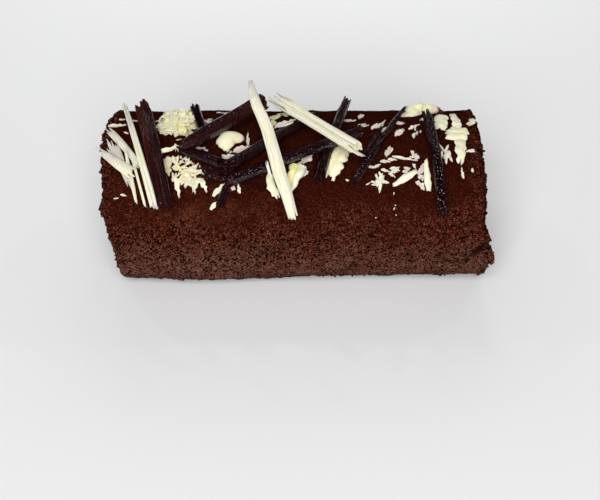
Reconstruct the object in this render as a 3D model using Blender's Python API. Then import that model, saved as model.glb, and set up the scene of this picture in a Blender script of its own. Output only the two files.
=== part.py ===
# Chocolate swiss roll: one rolled sponge log under dark and white chocolate
# pencils, curls and shavings.
#
# Frame: +X along the roll, +Y to the back, +Z up, origin in the middle of the
# flat underside. Sizes below are in millimetres and MM turns them into metres.

import math
import random

import bmesh
import bpy
from mathutils import Vector

MM = 0.001

# The rolled sponge.
ROLL_LENGTH = 220.0
ROLL_WIDTH = 103.5
ROLL_HEIGHT = 84.5
SECTION_POWER = 2.4        # 2 is an ellipse, more is boxier
BASE_CUT = 5.3             # how much of the round section its own weight flattens
END_ROUNDING = 5.0         # soft edge round each end face
LOWER_LEAN = 6.0           # the lower half has slumped this far towards +X
LEAN_BELOW = 55.0          # height under which the slump starts
RING_POINTS = 56
ROLL_STATIONS = 14
CAP_RINGS = 8
END_DOME = 1.5             # how far an end face swells out in its middle
SPIRAL_TURNS = 2.6         # turns of the rolled sheet seen on an end
SPIRAL_DEPTH = 0.9

# Chocolate pieces.
CLEARANCE = 0.45           # air kept between a loose piece and the roll
PENCIL_SIDES = 10
PENCIL_STATIONS = 6
BOW_DIRECTION = Vector((0.0, -0.25, 0.97))
END_HOLLOW = 0.45          # depth of the open scroll at a pencil's end, in radii
SCROLL_STEP = 0.1          # step where a pencil's outer edge lies on itself
FLAKE_GRID = (6, 3)
HEAP_SECTORS = 16
HEAP_RINGS = 4
HEAP_RIM = 0.6             # thickness of a heap at its edge

# Pencils: the two ends of the centre line, the half width at each end, how far
# the middle bows outwards, thickness over width, and how ragged the ends are.
PENCILS = {
    "dark_pencil_left": ((-92.0, 20.5, 93.5), (-73.0, -52.5, 71.0), (4.7, 4.3), 7.0, 1.0, 2.0),
    "dark_pencil_back": ((-60.5, 25.5, 85.5), (-51.0, -12.5, 88.0), (2.2, 2.3), 0.5, 1.0, 1.0),
    "dark_pencil_short": ((-65.0, -18.5, 86.5), (-41.5, -29.0, 83.5), (2.5, 2.6), 0.5, 1.0, 1.2),
    "dark_splinter_front": ((-43.0, -48.0, 67.5), (-38.5, -39.5, 75.5), (1.7, 1.7), 0.8, 1.0, 0.8),
    "dark_pencil_upright": ((31.0, 27.0, 88.0), (14.0, -38.5, 81.8), (2.7, 3.0), 3.2, 1.0, 1.2),
    "dark_pencil_lower": ((-36.5, -38.8, 78.7), (38.5, -14.0, 96.9), (3.0, 3.0), 0.0, 1.0, 1.2),
    "dark_pencil_middle": ((-37.5, -35.5, 86.8), (16.5, 17.5, 87.8), (2.6, 2.6), 0.0, 1.0, 1.0),
    "dark_pencil_crossing": ((-64.5, -25.5, 93.0), (-17.5, 14.5, 97.0), (3.6, 3.6), 0.0, 1.0, 1.5),
    "dark_pencil_slanted": ((66.5, 20.0, 88.5), (35.0, -40.5, 80.0), (1.9, 2.0), 2.5, 1.0, 1.0),
    "dark_pencil_right": ((79.5, 12.0, 91.0), (85.0, -54.0, 67.2), (2.6, 2.7), 6.6, 1.0, 1.2),
    "white_pencil_left": ((-102.0, 16.5, 92.0), (-80.2, -50.5, 68.5), (1.5, 3.0), 6.5, 0.55, 1.5),
    "white_pencil_tall": ((-25.0, 16.0, 111.0), (-2.0, -63.2, 71.9), (2.2, 3.6), 2.4, 0.5, 2.5),
    "white_pencil_resting": ((-11.0, 17.5, 96.0), (37.5, -37.5, 99.8), (3.9, 4.0), 0.0, 0.55, 2.5),
    "white_strip_upper": ((-110.0, 1.0, 86.5), (-93.0, -23.0, 84.0), (1.8, 1.5), 0.9, 0.5, 0.8),
    "white_strip_lower": ((-106.0, -12.5, 87.0), (-93.0, -41.0, 75.0), (2.2, 1.2), 1.2, 0.4, 0.8),
    "white_shard_left": ((-112.5, -22.0, 87.9), (-92.2, -35.0, 81.9), (1.6, 3.0), 0.0, 0.4, 1.5),
    "white_splinter_low": ((-95.0, -22.0, 87.5), (-88.0, -46.0, 68.5), (1.1, 0.9), 0.8, 0.7, 0.5),
}

# Flakes and curls: place on top of the roll, length and width, heading in
# degrees from +X, how far the middle stands up from the ends, and the lift.
FLAKES = {
    "white_curl_shell": ((-37.0, -9.5), (15.0, 10.5), 35.0, 3.2, 0.0),
    "white_curl_centre": ((2.2, -35.0), (18.0, 9.5), 74.0, 3.0, 0.0),
    "white_curl_crinkled": ((25.5, -25.0), (20.0, 9.5), 70.0, 3.2, 0.0),
    "white_flake_back": ((74.5, 25.5), (20.0, 8.5), 10.0, 1.6, 1.4),
    "white_flake_narrow": ((76.5, -32.5), (19.0, 4.5), 94.0, 0.8, 0.0),
    "white_flake_slanted": ((63.8, -34.0), (17.0, 5.5), 32.0, 0.8, 0.0),
    "white_flake_square": ((87.5, 9.5), (13.0, 7.5), 80.0, 0.8, 0.0),
    "white_flake_right_back": ((96.0, 11.5), (14.0, 7.0), 95.0, 1.0, 0.0),
    "white_flake_right_wide": ((96.0, -3.2), (15.0, 9.5), 170.0, 1.0, 0.0),
    "white_flake_right_front": ((96.5, -18.6), (15.0, 7.5), 85.0, 1.2, 0.0),
    "white_flake_leaning": ((-15.4, -38.0), (16.0, 4.6), 98.0, 0.9, 0.0),
}
FLAKE_THICKNESS = 1.1
FLAKE_UNEVENNESS = 0.13

# Heaps of fine shavings: centre, half length and half width, heading, height.
HEAPS = {
    "shavings_heap_back": ((-70.5, 8.0), (14.5, 11.0), 90.0, 5.2),
    "shavings_heap_front": ((-64.5, -33.6), (13.0, 7.0), -22.0, 4.2),
}


def clear_scene():
    for thing in list(bpy.data.objects):
        bpy.data.objects.remove(thing, do_unlink=True)


def make_material(name, colour, roughness):
    material = bpy.data.materials.new(name)
    material.use_nodes = True
    shader = material.node_tree.nodes["Principled BSDF"]
    shader.inputs["Base Color"].default_value = (*colour, 1.0)
    shader.inputs["Roughness"].default_value = roughness
    shader.inputs["Metallic"].default_value = 0.0
    material.diffuse_color = (*colour, 1.0)
    return material


def add_object(name, points, faces, material, sharp_angle=40.0):
    """Makes one closed object from points in millimetres."""
    shape = bmesh.new()
    corners = [shape.verts.new(Vector(point) * MM) for point in points]
    for face in faces:
        shape.faces.new([corners[index] for index in face])
    bmesh.ops.recalc_face_normals(shape, faces=shape.faces)
    bmesh.ops.triangulate(shape, faces=shape.faces)
    mesh = bpy.data.meshes.new(name)
    shape.to_mesh(mesh)
    shape.free()
    mesh.shade_smooth()
    mesh.set_sharp_from_angle(angle=math.radians(sharp_angle))
    mesh.materials.append(material)
    thing = bpy.data.objects.new(name, mesh)
    bpy.context.collection.objects.link(thing)
    return thing


def bridge_rings(rings, points_per_ring):
    """Quads between rings of points that follow one another."""
    faces = []
    for ring in range(rings - 1):
        for step in range(points_per_ring):
            after = (step + 1) % points_per_ring
            low = ring * points_per_ring
            high = low + points_per_ring
            faces.append((low + step, low + after, high + after, high + step))
    return faces


# ---- the roll ----

def section_point(angle, shrink=0.0, lowest=0.0):
    """Point of the section at an angle from +Y, its flat underside at z = 0."""
    half_width = ROLL_WIDTH / 2
    half_height = (ROLL_HEIGHT + BASE_CUT) / 2
    across = math.cos(angle)
    upward = math.sin(angle)
    power = 2 / SECTION_POWER
    y = (half_width - shrink) * math.copysign(abs(across) ** power, across)
    z = (half_height - shrink) * math.copysign(abs(upward) ** power, upward)
    return y, max(z + half_height - BASE_CUT, lowest)


def top_height(y):
    """Height of the roll's upper surface over a place y."""
    half_height = (ROLL_HEIGHT + BASE_CUT) / 2
    share = abs(y) / (ROLL_WIDTH / 2)
    return half_height * (1 - share ** SECTION_POWER) ** (1 / SECTION_POWER) + half_height - BASE_CUT


def top_normal(y):
    step = 0.5
    slope = (top_height(y + step) - top_height(y - step)) / (2 * step)
    return Vector((0.0, -slope, 1.0)).normalized()


def slump(z):
    """How far the roll has slumped along X at height z."""
    share = max(0.0, 1 - z / LEAN_BELOW)
    return LOWER_LEAN * share * share * (3 - 2 * share)


def hand_hollow(angle, x):
    """Depth of the shallow hollows left by rolling the sponge up by hand."""
    lengthwise = math.sin(x * 0.045 + 1.3) * math.sin(angle * 2 + 0.6)
    crosswise = math.sin(x * 0.083 + angle * 3)
    return 0.35 + 0.2 * lengthwise + 0.15 * crosswise


def roll_stations():
    """Places along the roll, each with its inset for the rounded ends."""
    half_length = ROLL_LENGTH / 2
    ends = []
    for degrees in (0, 35, 65):
        turn = math.radians(degrees)
        ends.append((half_length - END_ROUNDING * (1 - math.cos(turn)), END_ROUNDING * (1 - math.sin(turn))))
    straight = half_length - END_ROUNDING
    stations = [(-x, inset) for x, inset in ends]
    for step in range(ROLL_STATIONS):
        stations.append((-straight + 2 * straight * step / (ROLL_STATIONS - 1), 0.0))
    stations.extend(reversed(ends))
    return stations


def spiral_relief(angle, size):
    """Shallow groove on an end face, where one turn of sponge meets the next."""
    turn = (SPIRAL_TURNS * size + angle / (2 * math.pi)) % 1.0
    return -SPIRAL_DEPTH * math.exp(-((turn - 0.5) / 0.16) ** 2)


def build_roll(material):
    angles = [2 * math.pi * step / RING_POINTS for step in range(RING_POINTS)]
    middle = Vector((0.0, 0.0, ROLL_HEIGHT / 2))
    stations = roll_stations()
    rings = []
    for x, inset in stations:
        ring = []
        for angle in angles:
            y, z = section_point(angle, inset + hand_hollow(angle, x), inset)
            ring.append(Vector((x + slump(z), y, z)))
        rings.append(ring)

    def end_face(ring, side):
        """Rings that close an end, with the spiral of the rolled sheet."""
        inner = []
        for step in range(CAP_RINGS, 0, -1):
            size = step / (CAP_RINGS + 1)
            points = []
            for angle, edge in zip(angles, ring):
                flat_middle = Vector((edge.x, middle.y, middle.z))
                point = flat_middle.lerp(edge, size)
                point.x += side * (END_DOME * (1 - size * size) + spiral_relief(side * angle, size))
                points.append(point)
            inner.append(points)
        return inner

    left = list(reversed(end_face(rings[0], -1)))
    right = end_face(rings[-1], 1)
    rings = left + rings + right
    points = [point for ring in rings for point in ring]
    faces = bridge_rings(len(rings), RING_POINTS)
    for first, side in ((0, -1), (len(points) - RING_POINTS, 1)):
        ring = range(first, first + RING_POINTS)
        centre = len(points)
        points.append(sum((points[index] for index in ring), Vector()) / RING_POINTS)
        for step in range(RING_POINTS):
            faces.append((first + step, first + (step + 1) % RING_POINTS, centre))
    return add_object("sponge_roll", points, faces, material)


# ---- pencils ----

def build_pencil(name, material):
    """A rolled scroll of chocolate with ragged, hollowed ends."""
    start, end, widths, bow, flatness, ragged = PENCILS[name]
    start = Vector(start)
    end = Vector(end)
    pick = random.Random(name)
    along = (end - start).normalized()
    side = along.cross(BOW_DIRECTION).normalized()
    points = []
    for station in range(PENCIL_STATIONS):
        share = station / (PENCIL_STATIONS - 1)
        centre = start.lerp(end, share) + BOW_DIRECTION * (4 * bow * share * (1 - share))
        slope = (end - start + BOW_DIRECTION * (4 * bow * (1 - 2 * share))).normalized()
        outward = side.cross(slope).normalized()
        width = widths[0] + (widths[1] - widths[0]) * share
        for step in range(PENCIL_SIDES):
            turn = step / PENCIL_SIDES
            radius = width * (1 - SCROLL_STEP * turn)
            angle = 2 * math.pi * turn
            point = centre + side * (radius * math.cos(angle))
            point += outward * (radius * flatness * math.sin(angle))
            if station == 0:
                point += slope * (ragged * pick.random())
            if station == PENCIL_STATIONS - 1:
                point -= slope * (ragged * pick.random())
            points.append(point)
    faces = bridge_rings(PENCIL_STATIONS, PENCIL_SIDES)
    for first, inward, width in ((0, along, widths[0]), (len(points) - PENCIL_SIDES, -along, widths[1])):
        ring = range(first, first + PENCIL_SIDES)
        centre = sum((points[index] for index in ring), Vector()) / PENCIL_SIDES
        points.append(centre + inward * (END_HOLLOW * width))
        for step in range(PENCIL_SIDES):
            faces.append((first + step, first + (step + 1) % PENCIL_SIDES, len(points) - 1))
    return add_object(name, points, faces, material)


# ---- flakes and heaps ----

def local_frame(y, heading):
    """Directions along and across a piece that lies on the roll at y."""
    normal = top_normal(y)
    level = Vector((1.0, 0.0, 0.0))
    uphill = normal.cross(level)
    turn = math.radians(heading)
    along = level * math.cos(turn) + uphill * math.sin(turn)
    across = normal.cross(along)
    return along, across, normal


def build_flake(name, material):
    """A thin curled flake with an uneven outline, lying on the roll."""
    place, size, heading, curl, lift = FLAKES[name]
    pick = random.Random(name)
    along, across, normal = local_frame(place[1], heading)
    base = Vector((place[0], place[1], top_height(place[1]))) + normal * (CLEARANCE + lift)
    columns, rows = FLAKE_GRID
    points = []
    for layer in (0.0, FLAKE_THICKNESS):
        pick.seed(name)
        for column in range(columns + 1):
            u = 2 * column / columns - 1
            reach = math.sqrt(1 - (0.85 * u) ** 2) * (1 - FLAKE_UNEVENNESS * pick.random())
            drift = FLAKE_UNEVENNESS * (pick.random() - 0.5)
            for row in range(rows + 1):
                v = 2 * row / rows - 1
                height = curl * (1 - u * u) * (1 - 0.35 * v * v) + layer
                length = size[0] / 2 * u
                width = size[1] / 2 * (v * reach + drift)
                points.append(base + along * length + across * width + normal * height)
    per_layer = (columns + 1) * (rows + 1)
    faces = []
    for column in range(columns):
        for row in range(rows):
            first = column * (rows + 1) + row
            cell = (first, first + rows + 1, first + rows + 2, first + 1)
            faces.append(tuple(reversed(cell)))
            faces.append(tuple(index + per_layer for index in cell))
    rim = [row for row in range(rows + 1)]
    rim += [column * (rows + 1) + rows for column in range(1, columns + 1)]
    rim += [columns * (rows + 1) + row for row in range(rows - 1, -1, -1)]
    rim += [column * (rows + 1) for column in range(columns - 1, 0, -1)]
    for first, second in zip(rim, rim[1:] + rim[:1]):
        faces.append((first, second, second + per_layer, first + per_layer))
    return add_object(name, points, faces, material)


def build_heap(name, material):
    """A low uneven mound of shavings whose underside follows the roll."""
    place, size, heading, height = HEAPS[name]
    pick = random.Random(name)
    turn = math.radians(heading)
    points = []
    bumps = [[0.75 + 0.35 * pick.random() for _ in range(HEAP_SECTORS)] for _ in range(HEAP_RINGS)]
    outline = [0.86 + 0.14 * pick.random() for _ in range(HEAP_SECTORS)]
    for underside in (False, True):
        for ring in range(HEAP_RINGS):
            share = (ring + 1) / HEAP_RINGS
            for sector in range(HEAP_SECTORS):
                angle = 2 * math.pi * sector / HEAP_SECTORS
                u = size[0] * share * outline[sector] * math.cos(angle)
                v = size[1] * share * outline[sector] * math.sin(angle)
                x = place[0] + u * math.cos(turn) - v * math.sin(turn)
                y = place[1] + u * math.sin(turn) + v * math.cos(turn)
                mound = HEAP_RIM + (height - HEAP_RIM) * (1 - share ** 2) * bumps[ring][sector]
                above = CLEARANCE + (0.0 if underside else mound)
                points.append(Vector((x, y, top_height(y))) + top_normal(y) * above)
    faces = []
    layer = HEAP_RINGS * HEAP_SECTORS
    top_faces = bridge_rings(HEAP_RINGS, HEAP_SECTORS)
    faces.extend(top_faces)
    faces.extend(tuple(index + layer for index in reversed(face)) for face in top_faces)
    for first, above in ((0, CLEARANCE + height), (layer, CLEARANCE)):
        centre = len(points)
        x, y = place
        points.append(Vector((x, y, top_height(y))) + top_normal(y) * above)
        for sector in range(HEAP_SECTORS):
            faces.append((first + sector, first + (sector + 1) % HEAP_SECTORS, centre))
    edge = layer - HEAP_SECTORS
    for sector in range(HEAP_SECTORS):
        after = (sector + 1) % HEAP_SECTORS
        faces.append((edge + sector, edge + after, edge + layer + after, edge + layer + sector))
    return add_object(name, points, faces, material)


def build_all():
    clear_scene()
    sponge = make_material("chocolate_sponge", (0.055, 0.012, 0.006), 0.85)
    dark = make_material("dark_chocolate", (0.012, 0.006, 0.006), 0.35)
    white = make_material("white_chocolate", (0.85, 0.79, 0.55), 0.45)
    build_roll(sponge)
    for name in PENCILS:
        build_pencil(name, dark if name.startswith("dark") else white)
    for name in FLAKES:
        build_flake(name, white)
    for name in HEAPS:
        build_heap(name, white)


build_all()
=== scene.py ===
import math
import random

import bpy
import numpy as np
from mathutils import Matrix, Vector, noise
from mathutils.bvhtree import BVHTree


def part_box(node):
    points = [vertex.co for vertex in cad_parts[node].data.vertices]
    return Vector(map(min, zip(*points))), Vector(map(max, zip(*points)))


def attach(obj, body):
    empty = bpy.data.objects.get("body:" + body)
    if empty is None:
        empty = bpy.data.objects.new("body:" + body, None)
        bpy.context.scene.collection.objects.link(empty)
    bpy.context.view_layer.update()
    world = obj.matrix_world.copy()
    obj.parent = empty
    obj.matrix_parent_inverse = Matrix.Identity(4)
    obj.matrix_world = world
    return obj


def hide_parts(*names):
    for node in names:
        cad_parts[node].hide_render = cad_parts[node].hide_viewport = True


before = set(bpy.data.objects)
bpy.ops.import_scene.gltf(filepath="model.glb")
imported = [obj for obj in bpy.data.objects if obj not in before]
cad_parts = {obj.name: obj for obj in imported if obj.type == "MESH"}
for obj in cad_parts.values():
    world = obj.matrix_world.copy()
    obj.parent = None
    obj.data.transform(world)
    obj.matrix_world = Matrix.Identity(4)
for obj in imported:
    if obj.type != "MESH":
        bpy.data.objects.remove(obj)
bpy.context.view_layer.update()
mm = 0.001
outside = 200 * mm   # further out than any piece reaches
noise.seed_set(7)   # otherwise noise_vector starts from the clock, and no two runs are alike


# small helpers used all the way down

def deselectAll():
    if bpy.context.object and bpy.context.object.mode != "OBJECT":
        bpy.ops.object.mode_set(mode="OBJECT")
    bpy.ops.object.select_all(action="DESELECT")


def makeActive(piece):
    deselectAll()
    piece.select_set(True)
    bpy.context.view_layer.objects.active = piece


def editAll(piece):
    makeActive(piece)
    bpy.ops.object.mode_set(mode="EDIT")
    bpy.ops.mesh.select_all(action="SELECT")


def applyModifier(piece, kind, **settings):
    makeActive(piece)
    bpy.ops.object.modifier_add(type=kind)
    modifier = piece.modifiers[-1]
    for key, value in settings.items():
        setattr(modifier, key, value)
    bpy.ops.object.modifier_apply(modifier=modifier.name)


def corners(piece):
    co = np.empty(len(piece.data.vertices) * 3)
    piece.data.vertices.foreach_get("co", co)
    return co.reshape(-1, 3)


def moveCorners(piece, co):
    piece.data.vertices.foreach_set("co", np.asarray(co, float).ravel())
    piece.data.update()


def paint(piece, name, values):
    # stores one number or one place per corner, for the materials to read
    values = np.asarray(values, np.float32)
    if values.ndim == 2:
        piece.data.attributes.new(name, "FLOAT_VECTOR", "POINT").data.foreach_set("vector", values.ravel())
    else:
        piece.data.attributes.new(name, "FLOAT", "POINT").data.foreach_set("value", values)


def weightGroup(piece, name, weights):
    group = piece.vertex_groups.new(name=name)
    for index, weight in enumerate(weights):
        if weight > 0.004:
            group.add([index], float(weight), "REPLACE")


def smoothStep(low, high, value):
    share = np.clip((value - low) / (high - low), 0, 1)
    return share * share * (3 - 2 * share)


def levels(stops, share):
    # a value read off a few stops, each a place and a level
    return np.interp(share, [p[0] for p in stops], [p[1] for p in stops])


def joinAll(pieces, name):
    makeActive(pieces[0])
    for piece in pieces:
        piece.select_set(True)
    if len(pieces) > 1:
        bpy.ops.object.join()
    pieces[0].name = name
    return pieces[0]


def finishPiece(piece, material, slot, *replaced):
    piece.data.materials.clear()
    piece.data.materials.append(material)
    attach(piece, "root")
    if replaced:
        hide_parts(*replaced)


# materials

def addNode(tree, kind, sockets=None, **settings):
    made = tree.nodes.new("ShaderNode" + kind)
    for key, value in settings.items():
        setattr(made, key, value)
    for key, value in (sockets or {}).items():
        if isinstance(value, bpy.types.NodeSocket):
            tree.links.new(value, made.inputs[key])
        else:
            made.inputs[key].default_value = value
    return made


def startMaterial(name, **values):
    material = bpy.data.materials.new(name)
    material.use_nodes = True
    tree = material.node_tree
    shader = tree.nodes["Principled BSDF"]
    for key, value in values.items():
        shader.inputs[key.replace("_", " ")].default_value = value
    return material, tree, shader


def grey(level):
    return (level, level, level)


def fade(tree, source, first, last):
    # greys between two stops, each a place and a level
    made = tree.nodes.new("ShaderNodeValToRGB")
    tree.links.new(source, made.inputs["Fac"])
    for element, (place, level) in zip(made.color_ramp.elements, (first, last)):
        element.position = place
        element.color = (*grey(level), 1)
    return made.outputs["Color"]


def feed(tree, socket, value):
    if isinstance(value, bpy.types.NodeSocket):
        tree.links.new(value, socket)
    else:
        socket.default_value = (*value, 1) if isinstance(value, tuple) else value


def mixColour(tree, share, first, second, blend="MIX"):
    made = tree.nodes.new("ShaderNodeMix")
    made.data_type = "RGBA"
    made.blend_type = blend
    feed(tree, made.inputs["Factor"], share)
    feed(tree, made.inputs[6], first)
    feed(tree, made.inputs[7], second)
    return made.outputs[2]


def calculate(tree, operation, first, second):
    made = tree.nodes.new("ShaderNodeMath")
    made.operation = operation
    feed(tree, made.inputs[0], first)
    feed(tree, made.inputs[1], second)
    return made.outputs[0]


def times(tree, first, second):
    return calculate(tree, "MULTIPLY", first, second)


def plus(tree, first, second):
    return calculate(tree, "ADD", first, second)


def painted(tree, name, output="Fac"):
    # what paint stored on the corners
    return addNode(tree, "Attribute", attribute_name=name).outputs[output]


def cloudy(tree, place, pitch, detail, roughness=0.5):
    return addNode(tree, "TexNoise", {"Vector": place, "Scale": pitch, "Detail": detail,
                                      "Roughness": roughness}).outputs["Fac"]


def drawnOut(tree, place, along, across, detail, roughness=0.5):
    # clouds pulled long, along a piece's own grain
    pulled = addNode(tree, "Mapping", {"Vector": place, "Scale": (along, across, along)}).outputs["Vector"]
    return cloudy(tree, pulled, 1.0, detail, roughness)


spongeLook = {
    "fresh": (0.065, 0.0110, 0.0047), "moist": (0.0262, 0.0033, 0.0014), "dry": (0.190, 0.0885, 0.0620),
    # below: painted shade for the pores, and lighter crumb specks that are partly painted highlight
    "rubbed": (0.185, 0.0560, 0.0200), "pore": (0.0045, 0.0010, 0.0008), "crumb": (0.262, 0.0890, 0.0530),
    # dark for the seams between the spiral layers, and for painted shade in the creases and at the foot
    "seam": (0.0120, 0.0030, 0.0020),
    # large and small pores: pitch, least width and how much wider some are
    "pores": ((700.0, 0.25, 0.48), (1300.0, 0.24, 0.46)), "poreEdge": 0.55, "smallShare": 0.95,
    "warpPitch": 420.0, "warp": 0.9 * mm,
    "cloudPitch": 75.0, "crumbPitch": 1150.0, "crumbShare": 0.8, "mottlePitch": 520.0, "mottle": (0.58, 1.22),
    "closedWhenMoist": 0.86, "relief": 1.6 * mm,
}


def poreLayer(tree, place, pitch, least, more):
    # the middles of the cells, each opened by its own amount
    cells = addNode(tree, "TexVoronoi", {"Vector": place, "Scale": pitch, "Randomness": 1.0})
    chosen = addNode(tree, "SeparateColor", {"Color": cells.outputs["Color"]}).outputs["Red"]
    wide = plus(tree, times(tree, times(tree, chosen, chosen), more), least)
    narrow = times(tree, wide, spongeLook["poreEdge"])
    opened = {"Value": cells.outputs["Distance"], "From Min": narrow, "From Max": wide,
              "To Min": 1.0, "To Max": 0.0}
    return addNode(tree, "MapRange", opened, interpolation_type="SMOOTHSTEP").outputs["Result"]


def makeSponge():
    look = spongeLook
    material, tree, shader = startMaterial("chocolateSponge", Roughness=0.9, Specular_IOR_Level=0.0)
    place = addNode(tree, "TexCoord").outputs["Object"]
    moist, dry, seam, rubbed = [painted(tree, name) for name in ("moist", "dry", "seam", "rubbed")]
    drift = addNode(tree, "TexNoise", {"Vector": place, "Scale": look["warpPitch"], "Detail": 1.0})
    drift = addNode(tree, "VectorMath", {0: drift.outputs["Color"], 1: grey(look["warp"])},
                    operation="MULTIPLY").outputs[0]
    warped = addNode(tree, "VectorMath", {0: place, 1: drift}, operation="ADD").outputs[0]
    clouds = cloudy(tree, place, look["cloudPitch"], 5.0, 0.65)
    grain = cloudy(tree, place, look["crumbPitch"], 2.0, 0.6)
    mottle = cloudy(tree, place, look["mottlePitch"], 4.0)
    porous = calculate(tree, "SUBTRACT", 1.0, times(tree, moist, look["closedWhenMoist"]))
    large, small = [poreLayer(tree, warped, *pores) for pores in look["pores"]]
    # fresh and paler sponge in clouds, then rubbed and moist skin, crumb specks that are partly painted
    # highlight, mottling, painted shade in the pores, and dark seams with painted shade in the creases and
    # along the foot over it
    palerShare = times(tree, dry, fade(tree, clouds, (0.30, 0.35), (0.62, 1)))
    tone = mixColour(tree, palerShare, look["fresh"], look["dry"])
    tone = mixColour(tree, rubbed, tone, look["rubbed"])
    tone = mixColour(tree, moist, tone, look["moist"])
    # lighter crumb specks on the open sponge, partly the crumbs' own tone and partly painted highlight
    crumbHighlightShare = times(tree, fade(tree, grain, (0.50, 0), (0.64, 1)), times(tree, porous, look["crumbShare"]))
    tone = mixColour(tree, crumbHighlightShare, tone, look["crumb"])
    shade = fade(tree, mottle, (0.36, look["mottle"][0]), (0.62, look["mottle"][1]))
    mottled = addNode(tree, "MapRange", {"Value": moist, "To Min": 1.0, "To Max": 0.5}).outputs["Result"]
    tone = mixColour(tree, mottled, tone, mixColour(tree, 1.0, tone, shade, "MULTIPLY"))
    # painted shade in the large and the small pores
    tone = mixColour(tree, times(tree, large, porous), tone, look["pore"])
    tone = mixColour(tree, times(tree, small, times(tree, porous, look["smallShare"])), tone, look["pore"])
    # dark seams between the spiral layers, and painted shade in the creases and along the foot
    tone = mixColour(tree, seam, tone, look["seam"])
    tree.links.new(tone, shader.inputs["Base Color"])
    holes = plus(tree, large, times(tree, small, 0.5))
    bits = plus(tree, times(tree, grain, 0.8), mottle)
    height = times(tree, calculate(tree, "SUBTRACT", bits, holes), porous)
    bump = addNode(tree, "Bump", {"Height": height, "Strength": 1.0, "Distance": look["relief"]})
    tree.links.new(bump.outputs["Normal"], shader.inputs["Normal"])
    return material


# what lies in the chocolate's grain: pitch along and across it, detail and roughness
grainLayers = {
    "streaks": (60.0, 1500.0, 4.0, 0.6), "threads": (220.0, 3600.0, 2.0), "beads": (260.0, 720.0, 2.0),
    "rubs": (1150.0, 2000.0, 1.0), "bands": (26.0, 380.0, 1.0),
}


def makeChocolate(name, look):
    # chocolate drawn out along its length: ridges follow the piece's own grain
    material, tree, shader = startMaterial(name, Specular_IOR_Level=look["shine"])
    place = painted(tree, "grain", "Vector")
    thin, butter, cocoa = [painted(tree, layer) for layer in ("thin", "butter", "cocoa")]
    streaks, threads, beads, rubs, bands = [drawnOut(tree, place, *layer) for layer in grainLayers.values()]
    patches = cloudy(tree, place, 260.0, 3.0)
    tone = mixColour(tree, fade(tree, streaks, (0.40, 0), (0.64, 1)), look["deep"], look["light"])
    tone = mixColour(tree, times(tree, fade(tree, patches, (0.5, 0), (0.7, 1)), 0.5), tone, look["patch"])
    # yellower chocolate where the butter layer says; on the dark pencils it marks the band of painted glints
    tone = mixColour(tree, butter, tone, look["butter"])
    # pale thin edges; on the left dark pencil also painted reflected light along its flat band
    tone = mixColour(tree, thin, tone, look["edge"])
    # small pale specks lying in bands along the length; on the dark chocolate they are painted glints,
    # gathered most on the glint band of the butter layer
    dense = fade(tree, bands, (0.50, 0), (0.60, look["scuffAndGlintBands"]))
    dense = plus(tree, dense, times(tree, butter, look["dusted"]))
    scuffsAndGlints = times(tree, fade(tree, rubs, (0.655, 0), (0.70, 1)), dense)
    tone = mixColour(tree, scuffsAndGlints, tone, look["scuff"])
    # dark brown towards some ends; on the curled shell it is painted shade inside the curl
    tone = mixColour(tree, cocoa, tone, look["cocoa"])
    tree.links.new(tone, shader.inputs["Base Color"])
    height = times(tree, plus(tree, streaks, times(tree, threads, 0.6)), look["streak"])
    height = plus(tree, height, times(tree, beads, look["beads"]))
    bump = addNode(tree, "Bump", {"Height": height, "Strength": look["ridge"], "Distance": look["relief"]})
    tree.links.new(bump.outputs["Normal"], shader.inputs["Normal"])
    least, most = look["rough"]
    rough = addNode(tree, "MapRange", {"Value": patches, "From Min": 0.3, "From Max": 0.7,
                                       "To Min": least, "To Max": most})
    tree.links.new(rough.outputs["Result"], shader.inputs["Roughness"])
    shader.inputs["Specular Tint"].default_value = (*look["tint"], 1)
    if "depth" in look:
        shader.inputs["Subsurface Weight"].default_value = look["depth"]
        shader.inputs["Subsurface Radius"].default_value = look["depthTint"]
        shader.inputs["Subsurface Scale"].default_value = look["depthReach"]
    return material


darkLook = {
    "deep": (0.0034, 0.0010, 0.0015), "light": (0.0225, 0.0062, 0.0082), "patch": (0.0130, 0.0033, 0.0042),
    "edge": (0.048, 0.0095, 0.0060), "butter": (0.0060, 0.0016, 0.0020), "cocoa": (0.060, 0.016, 0.006),
    "ridge": 1.0, "relief": 0.5 * mm, "streak": 0.3, "beads": 1.0, "rough": (0.10, 0.22), "shine": 0.42,
    # tint colours the true reflections; the three after it are painted glints: their colour, their share in
    # bands, and their share on the glint band
    "tint": (1.0, 0.80, 0.85), "scuff": (0.60, 0.48, 0.54), "scuffAndGlintBands": 0.20, "dusted": 0.7,
}
whiteLook = {
    "deep": (0.86, 0.805, 0.545), "light": (0.93, 0.915, 0.79), "patch": (0.92, 0.88, 0.66),
    "edge": (0.76, 0.57, 0.54), "butter": (0.89, 0.81, 0.38), "cocoa": (0.060, 0.016, 0.006),
    "ridge": 0.6, "relief": 0.14 * mm, "streak": 1.0, "beads": 0.25, "rough": (0.35, 0.55), "shine": 0.35,
    "tint": (1.0, 1.0, 1.0), "scuff": (0.93, 0.92, 0.86), "scuffAndGlintBands": 0.8, "dusted": 0.0,
    "depth": 0.35, "depthTint": (1.0, 0.85, 0.45), "depthReach": 1.6 * mm,
}
# the sticks are a little greyer than the flakes
stickLook = {
    **whiteLook, "deep": (0.76, 0.70, 0.47), "patch": (0.90, 0.865, 0.66), "edge": (0.58, 0.55, 0.50),
}


# the sponge roll

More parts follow.
